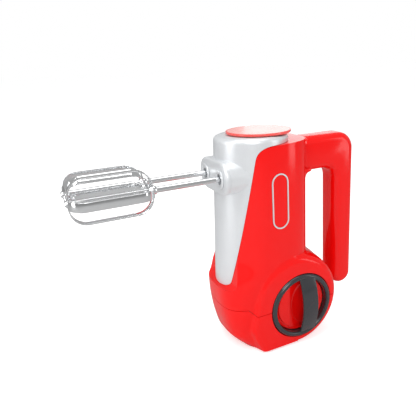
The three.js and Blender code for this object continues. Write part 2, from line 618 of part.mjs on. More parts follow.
for (const [where, side] of SIDES) {
  const place = (solid) => solid.translate([0, side * SPINDLE_SPACING / 2, SPINDLE_Z]);
  const hub = SPINDLE_RADIUS + SEAM;
  piece(`nose_collar_${where}`, place(collar()), SILVER);
  piece(`spindle_${where}`, place(spindle()), STEEL);
  piece(`worm_wheel_${where}`, place(toothedWheel(wheelRadius, WHEEL_TEETH, 1.4, -WHEEL_WIDTH / 2, WHEEL_WIDTH / 2,
    hub)), NYLON);
  piece(`front_bush_${where}`, place(bush(FRAME_FRONT, 1)), BRASS);
  piece(`rear_bush_${where}`, place(bush(FRAME_REAR, -1)), BRASS);
  piece(`beater_${where}`, place(beater(side < 0 ? 0 : 45)), CHROME);
}

// ---------------------------------------------------------------- motor
const stackTop = STACK_BOTTOM + STACK_HEIGHT;
const airGap = 0.5;
const bore = ARMATURE_RADIUS + airGap;
const FAN_BOTTOM = 95, FAN_HEIGHT = 7;
const BRACKET_BOTTOM = 84.5;
const COMMUTATOR_BOTTOM = stackTop + 9, COMMUTATOR_HEIGHT = 12, COMMUTATOR_RADIUS = 9;
const SHAFT_BOTTOM = BRACKET_BOTTOM + 2.5, SHAFT_TOP = SPINDLE_Z + 15;
const WORM_HALF = 12;

// Two-pole core: a ring with a pole and a curved shoe on each side of the armature.
function fieldCore() {
  const yoke = ring(STACK_RADIUS, STACK_RADIUS - 4, STACK_BOTTOM, stackTop, 'z', 24);
  const shoes = ring(bore + 2, bore, STACK_BOTTOM, stackTop, 'z', 24);
  const poles = block(-POLE_HALF, POLE_HALF, -STACK_RADIUS + 2, STACK_RADIUS - 2, STACK_BOTTOM, stackTop)
    .subtract(rod(bore, STACK_BOTTOM - 1, stackTop + 1, 'z', 24));
  const window = block(-STACK_RADIUS, STACK_RADIUS, -6, 6, STACK_BOTTOM - 1, stackTop + 1)
    .intersect(rod(bore + 3, STACK_BOTTOM - 2, stackTop + 2, 'z', 24));
  return join(yoke, shoes.subtract(window), poles);
}
piece('field_core', fieldCore(), LAMINATION);

// Each field coil is a loop round its pole, above and below the core.
const COIL_IN = POLE_HALF + 0.5, COIL_OUT = POLE_HALF + 7, COIL_END = 7;
function fieldCoil(side) {
  const from = bore + 2.6, to = STACK_RADIUS - 5.2;
  const loop = roundedRectangle(-COIL_OUT, COIL_OUT, STACK_BOTTOM - COIL_END, stackTop + COIL_END, 5);
  loop.holes.push(roundedRectangle(-COIL_IN, COIL_IN, STACK_BOTTOM - 0.5, stackTop + 0.5, 1));
  const [y0, y1] = side < 0 ? [-to, -from] : [from, to];
  return toSolid(prism(loop, 'y', y0, y1, { curve: 2 }))
    .intersect(rod(STACK_RADIUS - 4 - SEAM, 0, FAR, 'z', 24));
}
for (const [where, side] of SIDES) piece(`field_coil_${where}`, fieldCoil(side), COPPER);

function armatureCore() {
  const slots = 12;
  const shape = new THREE.Shape();
  const turn = 2 * Math.PI / slots;
  for (let i = 0; i < slots; i++) {
    const at = (r, part) => [r * Math.cos((i + part) * turn), r * Math.sin((i + part) * turn)];
    if (i === 0) shape.moveTo(...at(ARMATURE_RADIUS, 0));
    else shape.lineTo(...at(ARMATURE_RADIUS, 0));
    shape.lineTo(...at(ARMATURE_RADIUS, 0.35));
    shape.lineTo(...at(ARMATURE_RADIUS, 0.7));
    shape.lineTo(...at(ARMATURE_RADIUS - 5, 0.72));
    shape.lineTo(...at(ARMATURE_RADIUS - 5, 0.98));
  }
  shape.closePath();
  shape.holes.push(new THREE.Path().absarc(0, 0, SHAFT_RADIUS + SEAM, 0, 2 * Math.PI, true));
  return toSolid(prism(shape, 'z', STACK_BOTTOM, stackTop, { curve: 8 }));
}
piece('armature_core', armatureCore(), LAMINATION);

const windingEnd = (from, to) => revolve([[SHAFT_RADIUS + SEAM, from], [ARMATURE_RADIUS - 4, from],
  [ARMATURE_RADIUS - 1.5, from + 2], [ARMATURE_RADIUS - 1.5, to - 2], [ARMATURE_RADIUS - 4, to],
  [SHAFT_RADIUS + SEAM, to], [SHAFT_RADIUS + SEAM, from]], 'z', 16);
piece('winding_end_lower', windingEnd(STACK_BOTTOM - 7.5, STACK_BOTTOM - SEAM), COPPER);
piece('winding_end_upper', windingEnd(stackTop + SEAM, stackTop + 7.5), COPPER);

function motorShaft() {
  const thread = [];
  const turns = 5, pitch = 2 * WORM_HALF / turns;
  for (let i = 0; i < turns; i++) {
    const z = SPINDLE_Z - WORM_HALF + i * pitch;
    thread.push([SHAFT_RADIUS, z + 0.1], [WORM_RADIUS, z + pitch * 0.35], [WORM_RADIUS, z + pitch * 0.65],
      [SHAFT_RADIUS, z + pitch * 0.9]);
  }
  return revolve([[0, SHAFT_BOTTOM], [SHAFT_RADIUS, SHAFT_BOTTOM], ...thread, [SHAFT_RADIUS, SHAFT_TOP],
    [0, SHAFT_TOP]], 'z', 10);
}
piece('motor_shaft_with_worm', motorShaft(), STEEL);

function commutator() {
  const top = COMMUTATOR_BOTTOM + COMMUTATOR_HEIGHT;
  const barrel = ring(COMMUTATOR_RADIUS, SHAFT_RADIUS + SEAM, COMMUTATOR_BOTTOM, top, 'z', 16);
  return join(barrel, ring(COMMUTATOR_RADIUS + 1.5, SHAFT_RADIUS + SEAM, COMMUTATOR_BOTTOM, COMMUTATOR_BOTTOM + 2,
    'z', 16));
}
piece('commutator', commutator(), COPPER);

function coolingFan() {
  const blades = Array.from({ length: 9 }, (_, i) =>
    block(7, FAN_RADIUS - 0.5, -0.7, 0.7, FAN_BOTTOM + 0.5, FAN_BOTTOM + FAN_HEIGHT).rotate([0, 0, i * 40]));
  const hub = ring(8, SHAFT_RADIUS + SEAM, FAN_BOTTOM, FAN_BOTTOM + FAN_HEIGHT, 'z', 12);
  const disc = ring(FAN_RADIUS, SHAFT_RADIUS + SEAM, FAN_BOTTOM, FAN_BOTTOM + 1.5, 'z', 24);
  return join(hub, disc, ...blades);
}
piece('cooling_fan', coolingFan(), BLACK);

const bearing = (from) => ring(BEARING_RADIUS, SHAFT_RADIUS + SEAM, from, from + BEARING_HEIGHT, 'z', 16);
const lowerBearing = BRACKET_BOTTOM + 3.3;
piece('lower_bearing', bearing(lowerBearing), STEEL);
piece('upper_bearing', bearing(FRAME_FLOOR - 4), STEEL);

function lowerBracket() {
  const plate = rod(36, BRACKET_BOTTOM, BRACKET_BOTTOM + 3, 'z', 24);
  const cup = rod(BEARING_RADIUS + 3, BRACKET_BOTTOM, lowerBearing + BEARING_HEIGHT, 'z', 16);
  const seat = rod(BEARING_RADIUS + SEAM, lowerBearing - SEAM, FAR, 'z', 16);
  const relief = rod(SHAFT_RADIUS + 1.5, BRACKET_BOTTOM + 1.5, FAR, 'z', 10);
  const air = [0, 1, 2, 3, 4, 5].map((i) => rod(6, 0, FAR, 'z', 6).translate([22, 0, 0]).rotate([0, 0, 30 + 60 * i]));
  return cut(join(plate, cup), seat, relief, ...air);
}
piece('lower_bracket', lowerBracket(), BLACK);

const BRUSH_Z = COMMUTATOR_BOTTOM + COMMUTATOR_HEIGHT / 2 + 1;
for (const [where, side] of SIDES) {
  const across = (r0, r1, half, high) => {
    const [y0, y1] = side < 0 ? [-r1, -r0] : [r0, r1];
    return block(-half, half, y0, y1, BRUSH_Z - high, BRUSH_Z + high);
  };
  const channel = across(8, 40, 2.5 + SEAM, 3 + SEAM);
  piece(`carbon_brush_${where}`, across(COMMUTATOR_RADIUS + SEAM, 22, 2.5, 3), CARBON);
  piece(`brush_holder_${where}`, across(12, 30, 5, 5.5).subtract(channel), BRASS);
}

// ---------------------------------------------------------------- speed knob, its stem and the switch
const knobBottom = KNOB_TOP - KNOB_THICK;
const stemFlange = [knobBottom - SEAM - 2, knobBottom - SEAM];
const BOARD_Z = COLUMN_TOP - 19, BOARD_THICK = 1.6;
const SWITCH_TOP = COLUMN_TOP - 9.9;
const STEM_RADIUS = 4;

function speedKnob() {
  const disc = revolve([[0, knobBottom], [KNOB_RADIUS - 1.2, knobBottom], [KNOB_RADIUS, knobBottom + 1.2],
    [KNOB_RADIUS, KNOB_TOP - 1.2], [KNOB_RADIUS - 1.2, KNOB_TOP],
    [0, KNOB_TOP]], 'z', 40);
  const marks = [-1, 1].map((side) => block(KNOB_RADIUS - 0.7, KNOB_RADIUS + 2, -3, 3, knobBottom + 1, KNOB_TOP - 1)
    .rotate([0, 0, 218 + side * 11]));
  const pin = rod(2, stemFlange[0] - 2, knobBottom + 1, 'z', 8);
  return cut(disc, ...marks).add(pin).translate([KNOB_X, 0, 0]);
}
piece('speed_knob', speedKnob(), RED);

const stemBottom = BOARD_Z + BOARD_THICK + 1.5 + KNOB_TRAVEL;
piece('knob_stem', cut(join(rod(STEM_RADIUS, stemBottom, stemFlange[1], 'z', 12),
  rod(hubRadius, ...stemFlange, 'z', 16)), rod(2 + RUNNING, stemFlange[0] - 2.5, FAR, 'z', 8))
  .translate([KNOB_X, 0, 0]), BLACK);

piece('speed_switch', ring(9, STEM_RADIUS + RUNNING, BOARD_Z + BOARD_THICK + SEAM, SWITCH_TOP, 'z', 12)
  .translate([KNOB_X, 0, 0]), BLACK);
piece('turbo_spring', ring(STEM_RADIUS + 2.4, STEM_RADIUS + RUNNING, SWITCH_TOP + 0.2, stemFlange[0] - 0.2, 'z', 12)
  .translate([KNOB_X, 0, 0]), STEEL);
piece('control_board', block(-18, 38, -22, 22, BOARD_Z, BOARD_Z + BOARD_THICK), BOARD);

// ---------------------------------------------------------------- cord reel and its winding dial
const axleEnd = REEL_NEAR - 1;
const farWall = HOUSING_FACE - WALL;
const hubFace = -HOUSING_FACE + HUB_RECESS;
const hubBack = hubFace + 2.4;
const dialBack = hubBack + 2;
const atReel = (solid) => solid.translate([REEL_X, 0, REEL_Z]);

piece('reel_axle', atReel(join(rod(REEL_AXLE, axleEnd, farWall - SEAM, 'y'),
  rod(9, farWall - SEAM - 2.4, farWall - SEAM, 'y'))), STEEL);

function reelDrum() {
  const hole = REEL_AXLE + RUNNING;
  return revolve([
    [hole, REEL_NEAR - 1.5], [REEL_CORE, REEL_NEAR - 1.5], [REEL_CORE, REEL_NEAR], [FLANGE_RADIUS, REEL_NEAR],
    [FLANGE_RADIUS, REEL_NEAR + FLANGE_THICK], [REEL_CORE, REEL_NEAR + FLANGE_THICK],
    [REEL_CORE, REEL_FAR - FLANGE_THICK], [FLANGE_RADIUS, REEL_FAR - FLANGE_THICK], [FLANGE_RADIUS, REEL_FAR],
    [hole, REEL_FAR], [hole, REEL_NEAR - 1.5],
  ], 'y', 24);
}
piece('reel_drum', atReel(reelDrum()), BLACK);
piece('slip_ring', atReel(ring(19, 13, REEL_FAR + SEAM, REEL_FAR + 1.8, 'y', 16)), COPPER);

function contactPlate() {
  const plate = ring(22, 10, REEL_FAR + 6, REEL_FAR + 8.5, 'y', 16);
  const fingers = [0, 180].map((turn) =>
    block(14, 18, REEL_FAR + 2.2, REEL_FAR + 7, -2, 2).rotate([0, turn, 0]));
  return atReel(join(plate, ...fingers));
}
piece('contact_plate', contactPlate(), BRASS);

// Hub disc: dished, with a straight ridge and a scooped half-moon beside it for the fingers.
const RIDGE_X = -12, POCKET_TO = -1.5;
function hubDisc() {
  const disc = rod(DIAL_INNER - SEAM, hubFace, hubBack, 'y', 32);
  const boss = rod(REEL_CORE, hubFace + 1, REEL_NEAR - 1.5 - SEAM, 'y', 16);
  const ridge = block(RIDGE_X - 1.5, RIDGE_X + 1.5, hubFace - 2.4, hubFace + 1, -26, 26);
  const scoop = new THREE.SphereGeometry(24, 14, 6);
  scoop.scale(0.5, 0.085, 1);
  const pocket = toSolid(scoop).translate([POCKET_TO, hubFace, 0])
    .intersect(block(RIDGE_X + 1.6, POCKET_TO, -FAR, FAR, -FAR, FAR));
  return atReel(cut(join(disc, boss, ridge), pocket));
}
piece('hub_disc', hubDisc(), RED);

// Winding handle: the ring that turns the reel, and its bridge strap.
function windingHandle() {
  const face = -HOUSING_FACE - DIAL_PROUD;
  const rim = revolve([
    [DIAL_INNER, dialBack], [DIAL_INNER, face + 1.6], [DIAL_INNER + 1.2, face], [DIAL_RADIUS - 2, face],
    [DIAL_RADIUS, face + 2], [DIAL_RADIUS, dialBack], [DIAL_INNER, dialBack],
  ], 'y', 40);
  const reach = DIAL_INNER + 2.5;
  const arch = new THREE.Shape();              // drawn along Z and outward along -Y
  const rise = (t) => STRAP_ARCH * Math.sin(Math.PI * t) ** 0.8;
  const steps = 8;
  for (let i = 0; i <= steps; i++) {
    const t = i / steps;
    arch[i ? 'lineTo' : 'moveTo'](face + 1.5 - rise(t), -reach + 2 * reach * t);
  }
  for (let i = steps; i >= 0; i--) {
    const t = i / steps;
    arch.lineTo(face + 1.5 + STRAP_THICK - rise(t), -reach + 2 * reach * t);
  }
  arch.closePath();
  const strap = toSolid(prism(arch, 'x', STRAP_FROM, STRAP_TO));
  return atReel(join(rim, strap));
}
piece('winding_handle', windingHandle(), GREY);

export default mixer;
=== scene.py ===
"""Looks of an upright hand mixer: fine casings, handle, dial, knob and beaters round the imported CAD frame."""

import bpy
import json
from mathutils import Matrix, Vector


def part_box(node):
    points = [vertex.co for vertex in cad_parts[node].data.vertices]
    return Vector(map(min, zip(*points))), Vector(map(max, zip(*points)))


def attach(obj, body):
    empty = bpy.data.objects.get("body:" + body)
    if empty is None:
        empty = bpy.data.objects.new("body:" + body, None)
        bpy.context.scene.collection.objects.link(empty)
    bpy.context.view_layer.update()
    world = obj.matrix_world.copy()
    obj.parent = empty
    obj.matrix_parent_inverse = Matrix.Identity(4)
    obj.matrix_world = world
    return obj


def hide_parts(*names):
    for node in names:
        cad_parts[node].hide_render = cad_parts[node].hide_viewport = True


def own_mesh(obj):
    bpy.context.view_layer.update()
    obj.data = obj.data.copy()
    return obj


bl_info = {
    "name": "Hand mixer looks",
    "version": (1, 0, 0),
    "blender": (4, 5, 0),
    "location": "View3D > Sidebar > Hand mixer",
    "description": "Builds the visible pieces and finishes of an upright hand mixer",
    "category": "Add Mesh",
}

import json
import math

import bpy
import numpy as np
from bpy.props import FloatProperty, FloatVectorProperty, PointerProperty
from mathutils import Matrix, Vector

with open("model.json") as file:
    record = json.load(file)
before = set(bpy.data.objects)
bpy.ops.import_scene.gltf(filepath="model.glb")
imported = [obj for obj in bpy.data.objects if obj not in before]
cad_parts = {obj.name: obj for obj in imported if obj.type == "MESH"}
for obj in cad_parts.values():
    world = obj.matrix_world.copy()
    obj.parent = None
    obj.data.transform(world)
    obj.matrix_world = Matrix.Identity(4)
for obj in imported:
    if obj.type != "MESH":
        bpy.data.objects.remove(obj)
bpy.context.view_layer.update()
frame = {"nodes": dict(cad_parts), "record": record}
MM = 0.001
SIDES = (("near", -1), ("far", 1))
BODY_OF = {n: b for b, ns in frame["record"]["behaviour"]["bodies"].items() for n in ns}
SLOT_OF = {s["node"]: s["material_slot"] for s in frame["record"]["subparts"]}


# ---------------------------------------------------------------- places read from the frame
def centre(node):
    low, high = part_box(node)
    return (low + high) / 2


def extent(node, axis):
    low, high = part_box(node)
    return low["xyz".index(axis)], high["xyz".index(axis)]


def half_width(node, axis="x"):
    low, high = extent(node, axis)
    return (high - low) / 2


SPINDLE_Y = abs(centre("spindle_near").y)
SPINDLE_Z = centre("spindle_near").z
COLUMN_TOP = extent("front_shell", "z")[1]
CAP_EDGE = COLUMN_TOP - 8.8 * MM   # above this the column is a round silver cap
CAP_RISE = 1.6 * MM                # how much that edge climbs towards the handle
BASE_BOTTOM = extent("lower_casing", "z")[0]
DIAL = centre("winding_handle")
KNOB = centre("speed_knob")
COLLAR_RADIUS = half_width("nose_collar_near", "y")
COLLAR_PROUD = 1.7 * MM            # how far the collars stand out of the nose
ROUND = 160                        # steps of a large turned piece


# ---------------------------------------------------------------- settings
def length(name, text, millimetres):
    return FloatProperty(name=name, description=text, default=millimetres * MM, unit="LENGTH", precision=5)


class MixerCasing(bpy.types.PropertyGroup):
    """Sizes of the moulded casings."""

    wall: length("Wall", "Thickness of every moulded shell", 2.6)
    seam: length("Seam", "Gap between pieces that meet", 0.3)
    column_radius: length("Column radius", "Front of the motor column, at its top", 40)
    shoulder: length("Shoulder", "Rounding of the column's top edge", 5)
    body_rear: length("Rear", "Flat back of the column", 57)
    body_rear_flat: length("Rear flat", "Half the width of the flat at the back", 8)
    front_flare: FloatProperty(name="Front flare", default=0.046,
                               description="Growth of the front towards the base")
    side_flare: FloatProperty(name="Side flare", default=0.018,
                              description="Growth of the sides towards the base")
    base_front: length("Base front", "Fullest point of the base's front", 52)
    base_side: length("Base side", "Fullest point of the base's sides", 42.5)
    base_bulge_z: length("Base bulge", "Height of the fullest point of the base", 76)
    base_front_tuck: length("Front tuck", "How far the front is drawn in at the ground", 15)
    base_side_tuck: length("Side tuck", "How far the sides are drawn in at the ground", 8)
    housing_x: length("Housing X", "Axis of the round reel housing", 30.5)
    housing_z: length("Housing Z", "Axis of the round reel housing", 54)
    housing_radius: length("Housing radius", "Round reel housing", 55)
    housing_face: length("Housing face", "Half the housing's width", 45)
    housing_face_radius: length("Housing flat", "Radius of the housing's flat face", 47)
    base_chin: length("Base chin", "How much more the front slopes in near the ground", 13)
    base_chin_z: length("Chin height", "Where that slope starts", 21)
    leg_corner: length("Leg corner", "Rounding where the housing's side turns to the front", 6)
    blend: length("Blend", "Fillet where the base grows out of the column", 2.2)
    rear_blend: length("Rear blend", "Extra fillet behind, where the housing meets the flat back", 26)


class MixerColours(bpy.types.PropertyGroup):
    """Colours of the finishes."""

    red: FloatVectorProperty(name="Red", description="Glossy red plastic", subtype="COLOR", size=4,
                             default=(0.80, 0.0035, 0.003, 1))
    knob: FloatVectorProperty(name="Knob top", description="Pale face of the top knob", subtype="COLOR", size=4,
                              default=(0.95, 0.40, 0.37, 1))
    silver: FloatVectorProperty(name="Silver", description="Satin silver paint", subtype="COLOR", size=4,
                                default=(0.76, 0.78, 0.80, 1))
    grey: FloatVectorProperty(name="Grey", description="Dark gloss of the dial", subtype="COLOR", size=4,
                              default=(0.024, 0.025, 0.029, 1))


class MixerStage(bpy.types.PropertyGroup):
    """Camera and light."""

    camera: FloatVectorProperty(name="Camera", description="Where the camera stands", subtype="TRANSLATION",
                                unit="LENGTH", default=(-0.2169, -0.4123, 0.3131))
    azimuth: FloatProperty(name="Azimuth", description="Camera's turn from the Y axis", subtype="ANGLE",
                           default=math.radians(-25.81))
    elevation: FloatProperty(name="Elevation", description="Camera's height angle", subtype="ANGLE",
                             default=math.radians(18.12))
    roll: FloatProperty(name="Roll", description="Camera's turn about its own axis", subtype="ANGLE",
                        default=math.radians(-2.6))
    lens: FloatProperty(name="Lens", description="Focal length in millimetres", default=37.8)
    shift: FloatProperty(name="Shift", description="Sideways lens shift", default=-0.074)
    key_power: FloatProperty(name="Key", description="Power of the main softbox", default=3.0, unit="POWER")
    room_light: FloatProperty(name="Room light", description="Brightness of the white room", default=0.64)
    room_reflection: FloatProperty(name="Room reflection", description="Brightness of the room in reflections",
                                   default=0.42)


# ---------------------------------------------------------------- modelling helpers
def deselect():
    bpy.ops.object.select_all(action="DESELECT")


def take(piece):
    deselect()
    piece.select_set(True)
    bpy.context.view_layer.objects.active = piece


def added(name):
    """The object that the last primitive operator made, under its own name."""
    piece = bpy.context.active_object
    piece.name = name
    piece.data.name = name
    return piece


def edit(piece, *steps):
    """Runs edit-mode steps on a piece, everything selected first."""
    take(piece)
    bpy.ops.object.mode_set(mode="EDIT")
    bpy.ops.mesh.select_all(action="SELECT")
    for step in steps:
        step()
    bpy.ops.object.mode_set(mode="OBJECT")
    return piece


def clean():
    bpy.ops.mesh.select_all(action="SELECT")
    bpy.ops.mesh.remove_doubles(threshold=2e-6)
    bpy.ops.mesh.dissolve_degenerate(threshold=1e-7)
    bpy.ops.mesh.select_all(action="SELECT")
    bpy.ops.mesh.normals_make_consistent(inside=False)


def points_of(piece):
    co = np.empty(len(piece.data.vertices) * 3)
    piece.data.vertices.foreach_get("co", co)
    return co.reshape(-1, 3)


def set_points(piece, points):
    piece.data.vertices.foreach_set("co", np.asarray(points, float).ravel())
    piece.data.update()
    return piece


def modify(piece, kind, **values):
    """Adds a modifier and applies it."""
    take(piece)
    modifier = piece.modifiers.new(kind.title(), kind)
    for key, value in values.items():
        setattr(modifier, key, value)
    bpy.ops.object.modifier_apply(modifier=modifier.name)
    return piece


def round_edges(piece, width, segments=3, angle=40):
    return modify(piece, "BEVEL", width=width, segments=segments, limit_method="ANGLE",
                  angle_limit=math.radians(angle), use_clamp_overlap=True, harden_normals=False)


def boolean(piece, tool, operation):
    modify(piece, "BOOLEAN", object=tool, operation=operation, solver="MANIFOLD")
    bpy.data.objects.remove(tool)
    if not len(piece.data.polygons):
        raise RuntimeError(f"{piece.name} came out empty")
    return piece


def cut(piece, *tools):
    for tool in tools:
        boolean(piece, tool, "DIFFERENCE")
    return piece


def unite(piece, *tools):
    for tool in tools:
        boolean(piece, tool, "UNION")
    return piece


def copied(piece, name):
    """A copy with its own mesh."""
    twin = piece.copy()
    twin.data = piece.data.copy()
    twin.name = name
    bpy.context.collection.objects.link(twin)
    return twin


def joined(name, pieces):
    deselect()
    for piece in pieces:
        piece.select_set(True)
    bpy.context.view_layer.objects.active = pieces[0]
    bpy.ops.object.join()
    return added(name)


def place(piece, matrix):
    piece.data.transform(matrix)
    piece.data.update()
    return piece


AXES = {
    "x": Matrix(((0, 0, 1, 0), (1, 0, 0, 0), (0, 1, 0, 0), (0, 0, 0, 1))),
    "y": Matrix(((1, 0, 0, 0), (0, 0, -1, 0), (0, 1, 0, 0), (0, 0, 0, 1))),
    "z": Matrix.Identity(4),
}


def slab(name, outline, low, high, axis):
    """A flat outline pushed along an axis. Across X its axes are Y, Z; across Y they are X, Z."""
    bpy.ops.mesh.primitive_circle_add(vertices=len(outline), radius=1, fill_type="NGON")
    piece = added(name)
    set_points(piece, [(u, v, 0) for u, v in outline])
    thick = (0, 0, high - low)
    edit(piece, lambda: bpy.ops.mesh.extrude_region_move(TRANSFORM_OT_translate={"value": thick}), clean)
    lift = -high if axis == "y" else low
    return place(piece, AXES[axis] @ Matrix.Translation((0, 0, lift)))


def lathe(name, profile, axis, at=(0, 0, 0), steps=96):
    """A closed outline of (radius, height) spun round an axis through a point."""
    bpy.ops.mesh.primitive_circle_add(vertices=len(profile), radius=1)
    piece = added(name)
    set_points(piece, [(r, 0, h) for r, h in profile])
    edit(piece, lambda: bpy.ops.mesh.spin(steps=steps, angle=2 * math.pi, center=(0, 0, 0), axis=(0, 0, 1)),
         clean)
    turn = {"x": Matrix.Rotation(math.pi / 2, 4, "Y"), "y": Matrix.Rotation(-math.pi / 2, 4, "X"),
            "z": Matrix.Identity(4)}[axis]
    return place(piece, Matrix.Translation(at) @ turn)


def rod(name, radius, low, high, axis, at=(0, 0, 0), steps=64):
    return lathe(name, [(0, low), (radius, low), (radius, high), (0, high)], axis, at, steps)


def block(name, low, high):
    bpy.ops.mesh.primitive_cube_add(size=1)
    low, high = Vector(low), Vector(high)
    return place(added(name), Matrix.Translation((low + high) / 2) @ Matrix.Diagonal((*(high - low), 1)))


def arc(cx, cy, radius, start, end, count=12):
    """Points on an arc, its angles in degrees."""
    return [(cx + radius * math.cos(math.radians(a)), cy + radius * math.sin(math.radians(a)))
            for a in np.linspace(start, end, count)]


def curve(start, bend, end, count=10):
    """Points on a quadratic curve, without its first point."""
    return [tuple((1 - t) ** 2 * a + 2 * t * (1 - t) * b + t * t * c for a, b, c in zip(start, bend, end))
            for t in np.linspace(0, 1, count + 1)[1:]]


def rounded_profile(corners, radius, count=5):
    """Rounds every corner of a closed outline that doesn't lie on the axis."""
    out = []
    for i, corner in enumerate(corners):
        if corner[0] < 1e-6:
            out.append(corner)
            continue
        before, after = Vector(corners[i - 1]), Vector(corners[(i + 1) % len(corners)])
        here = Vector(corner)
        reach = min(radius, (before - here).length * 0.45, (after - here).length * 0.45)
        first = here + (before - here).normalized() * reach
        last = here + (after - here).normalized() * reach
        out.append(tuple(first))
        out.extend(curve(first, here, last, count))
    return out


def smooth(piece, angle=35):
    take(piece)
    bpy.ops.object.shade_smooth_by_angle(angle=math.radians(angle))
    return piece


def finished(piece, *nodes, angle=35):
    """Shades a piece, gives it its finish and lets it stand for CAD nodes of one body."""
    smooth(piece, angle)
    slot = SLOT_OF[nodes[0]]
    piece.data.materials.clear()
    piece.data.materials.append(bpy.data.materials[slot])
    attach(piece, BODY_OF[nodes[0]])
    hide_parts(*nodes)
    return piece


# ---------------------------------------------------------------- casing surface
HEART_X = 20 * MM                  # every level section of the casings is seen whole from this axis


def polar(points, angles):
    """How far an outline reaches from the heart axis in each direction."""
    away = points - np.array([HEART_X, 0.0])
    turn = np.arctan2(away[:, 1], away[:, 0])
    order = np.argsort(turn)
    return np.interp(angles, turn[order], np.hypot(*away.T)[order], period=2 * math.pi)


def mirrored(half):
    return np.vstack([half, half[::-1] * [1, -1]])


def edge_inset(depth, radius):
    """How far a rounded edge has drawn in, at a depth inside its corner."""
    depth = np.clip(depth, 0, radius)
    return radius - math.sqrt(radius**2 - (radius - depth) ** 2)


def column_section(z, inset, angles):
    c = bpy.context.scene.mixer_casing
    inset += edge_inset(COLUMN_TOP - z, c.shoulder) if z > COLUMN_TOP - c.shoulder else 0
    r, rear = c.column_radius - inset, c.body_rear - inset
    t = np.linspace(0, 1, 80)[:, None]
    corners = [np.array(p) for p in ((0, r), (rear / 2, r), (rear, r), (rear, c.body_rear_flat))]
    side = sum(k * (1 - t) ** (3 - i) * t**i * p for i, (k, p) in enumerate(zip((1, 3, 3, 1), corners)))
    turn = np.linspace(math.pi, math.pi / 2, 80)
    nose = np.column_stack([r * np.cos(turn), r * np.sin(turn)])
    half = np.vstack([nose, side[1:], [[rear, 0]]])
    below = COLUMN_TOP - c.shoulder - z
    half[:, 0] *= np.where(half[:, 0] < 0, 1 + c.front_flare * below / c.column_radius, 1)
    half[:, 1] *= 1 + c.side_flare * below / c.column_radius
    return polar(mirrored(half), angles)


def base_section(z, inset, angles):
    c = bpy.context.scene.mixer_casing
    lean = ((z - c.base_bulge_z) / c.base_bulge_z) ** 2
    inset += edge_inset(z - BASE_BOTTOM, 2 * MM) if z < BASE_BOTTOM + 2 * MM else 0
    chin = c.base_chin * np.clip((c.base_chin_z - z) / c.base_chin_z, 0, 1) ** 1.25
    front = c.base_front - c.base_front_tuck * lean - chin - inset
    side = c.base_side - c.base_side_tuck * lean - inset
    rise = np.clip((z - c.base_bulge_z - 4 * MM) / (35 * MM), 0, 1)
    power = 3.2 - 1.2 * rise * rise * (3 - 2 * rise)
    turn = np.linspace(math.pi, 0, 160)
    reach = (np.abs(np.cos(turn)) / front) ** power + (np.abs(np.sin(turn)) / side) ** power
    r = reach ** (-1 / power)
    return polar(mirrored(np.column_stack([r * np.cos(turn), r * np.sin(turn)])), angles)


def housing_section(z, inset, angles):
    c = bpy.context.scene.mixer_casing
    radius = c.housing_radius - inset
    inset += edge_inset(z - BASE_BOTTOM, 2 * MM) if z < BASE_BOTTOM + 2 * MM else 0
    flat = c.housing_face_radius - inset / 2
    rim = radius - flat
    half_chord = math.sqrt(max(radius**2 - (z - c.housing_z) ** 2, 0))
    turn = np.linspace(math.pi, 0, 200)
    x = c.housing_x + half_chord * np.cos(turn)
    out = np.clip((np.hypot(x - c.housing_x, z - c.housing_z) - flat) / rim, 0, 1)
    if z < c.housing_z:                                # below its axis the front runs down to the ground
        left = leg_front(z) + inset
        share = (np.cos(turn) + 1) / 2
        x = np.where(turn > math.pi / 2, left + (c.housing_x - left) * 2 * share, x)
        out = np.where(turn > math.pi / 2, np.clip((left + c.leg_corner - x) / c.leg_corner, 0, 1), out)
        rim = np.where(turn > math.pi / 2, c.leg_corner * 0.8, rim)
    y = c.housing_face - inset - rim * (1 - np.sqrt(1 - out**2))
    half = np.column_stack([x, y])
    ends = [[x[0], 0]], half, [[x[-1], 0]]
    return polar(mirrored(np.vstack(ends)), angles)


def leg_front(z):
    """X of the housing's front below its axis."""
    c = bpy.context.scene.mixer_casing
    left = c.housing_x - c.housing_radius
    heights = [0, 0.28 * c.housing_z, 0.56 * c.housing_z, c.housing_z]
    return np.interp(z, heights, [left + 10 * MM, left + 2.5 * MM, left - 3 * MM, left])


def soft_max(a, b, width):
    h = np.clip(0.5 + 0.5 * (a - b) / width, 0, 1)
    return b + (a - b) * h + width * h * (1 - h)


def reach_at(z, inset, angles, forms, base_top):
    c = bpy.context.scene.mixer_casing
    r = column_section(z, inset, angles)
    if "base" in forms:
        sunk = np.clip((c.base_bulge_z + 4 * MM - z) / (25 * MM), 0, 1)     # the column ends inside the base
        r = r - sunk * sunk * (3 - 2 * sunk) * 30 * MM
    if "base" in forms and z < base_top:
        r = soft_max(r, base_section(z, inset, angles), c.blend)
    if "housing" in forms and z < c.housing_z + c.housing_radius - inset - 1 * MM:
        behind = np.clip(np.cos(angles), 0, 1) ** 6
        r = soft_max(r, housing_section(z, inset, angles), c.blend + behind * c.rear_blend)
    return r


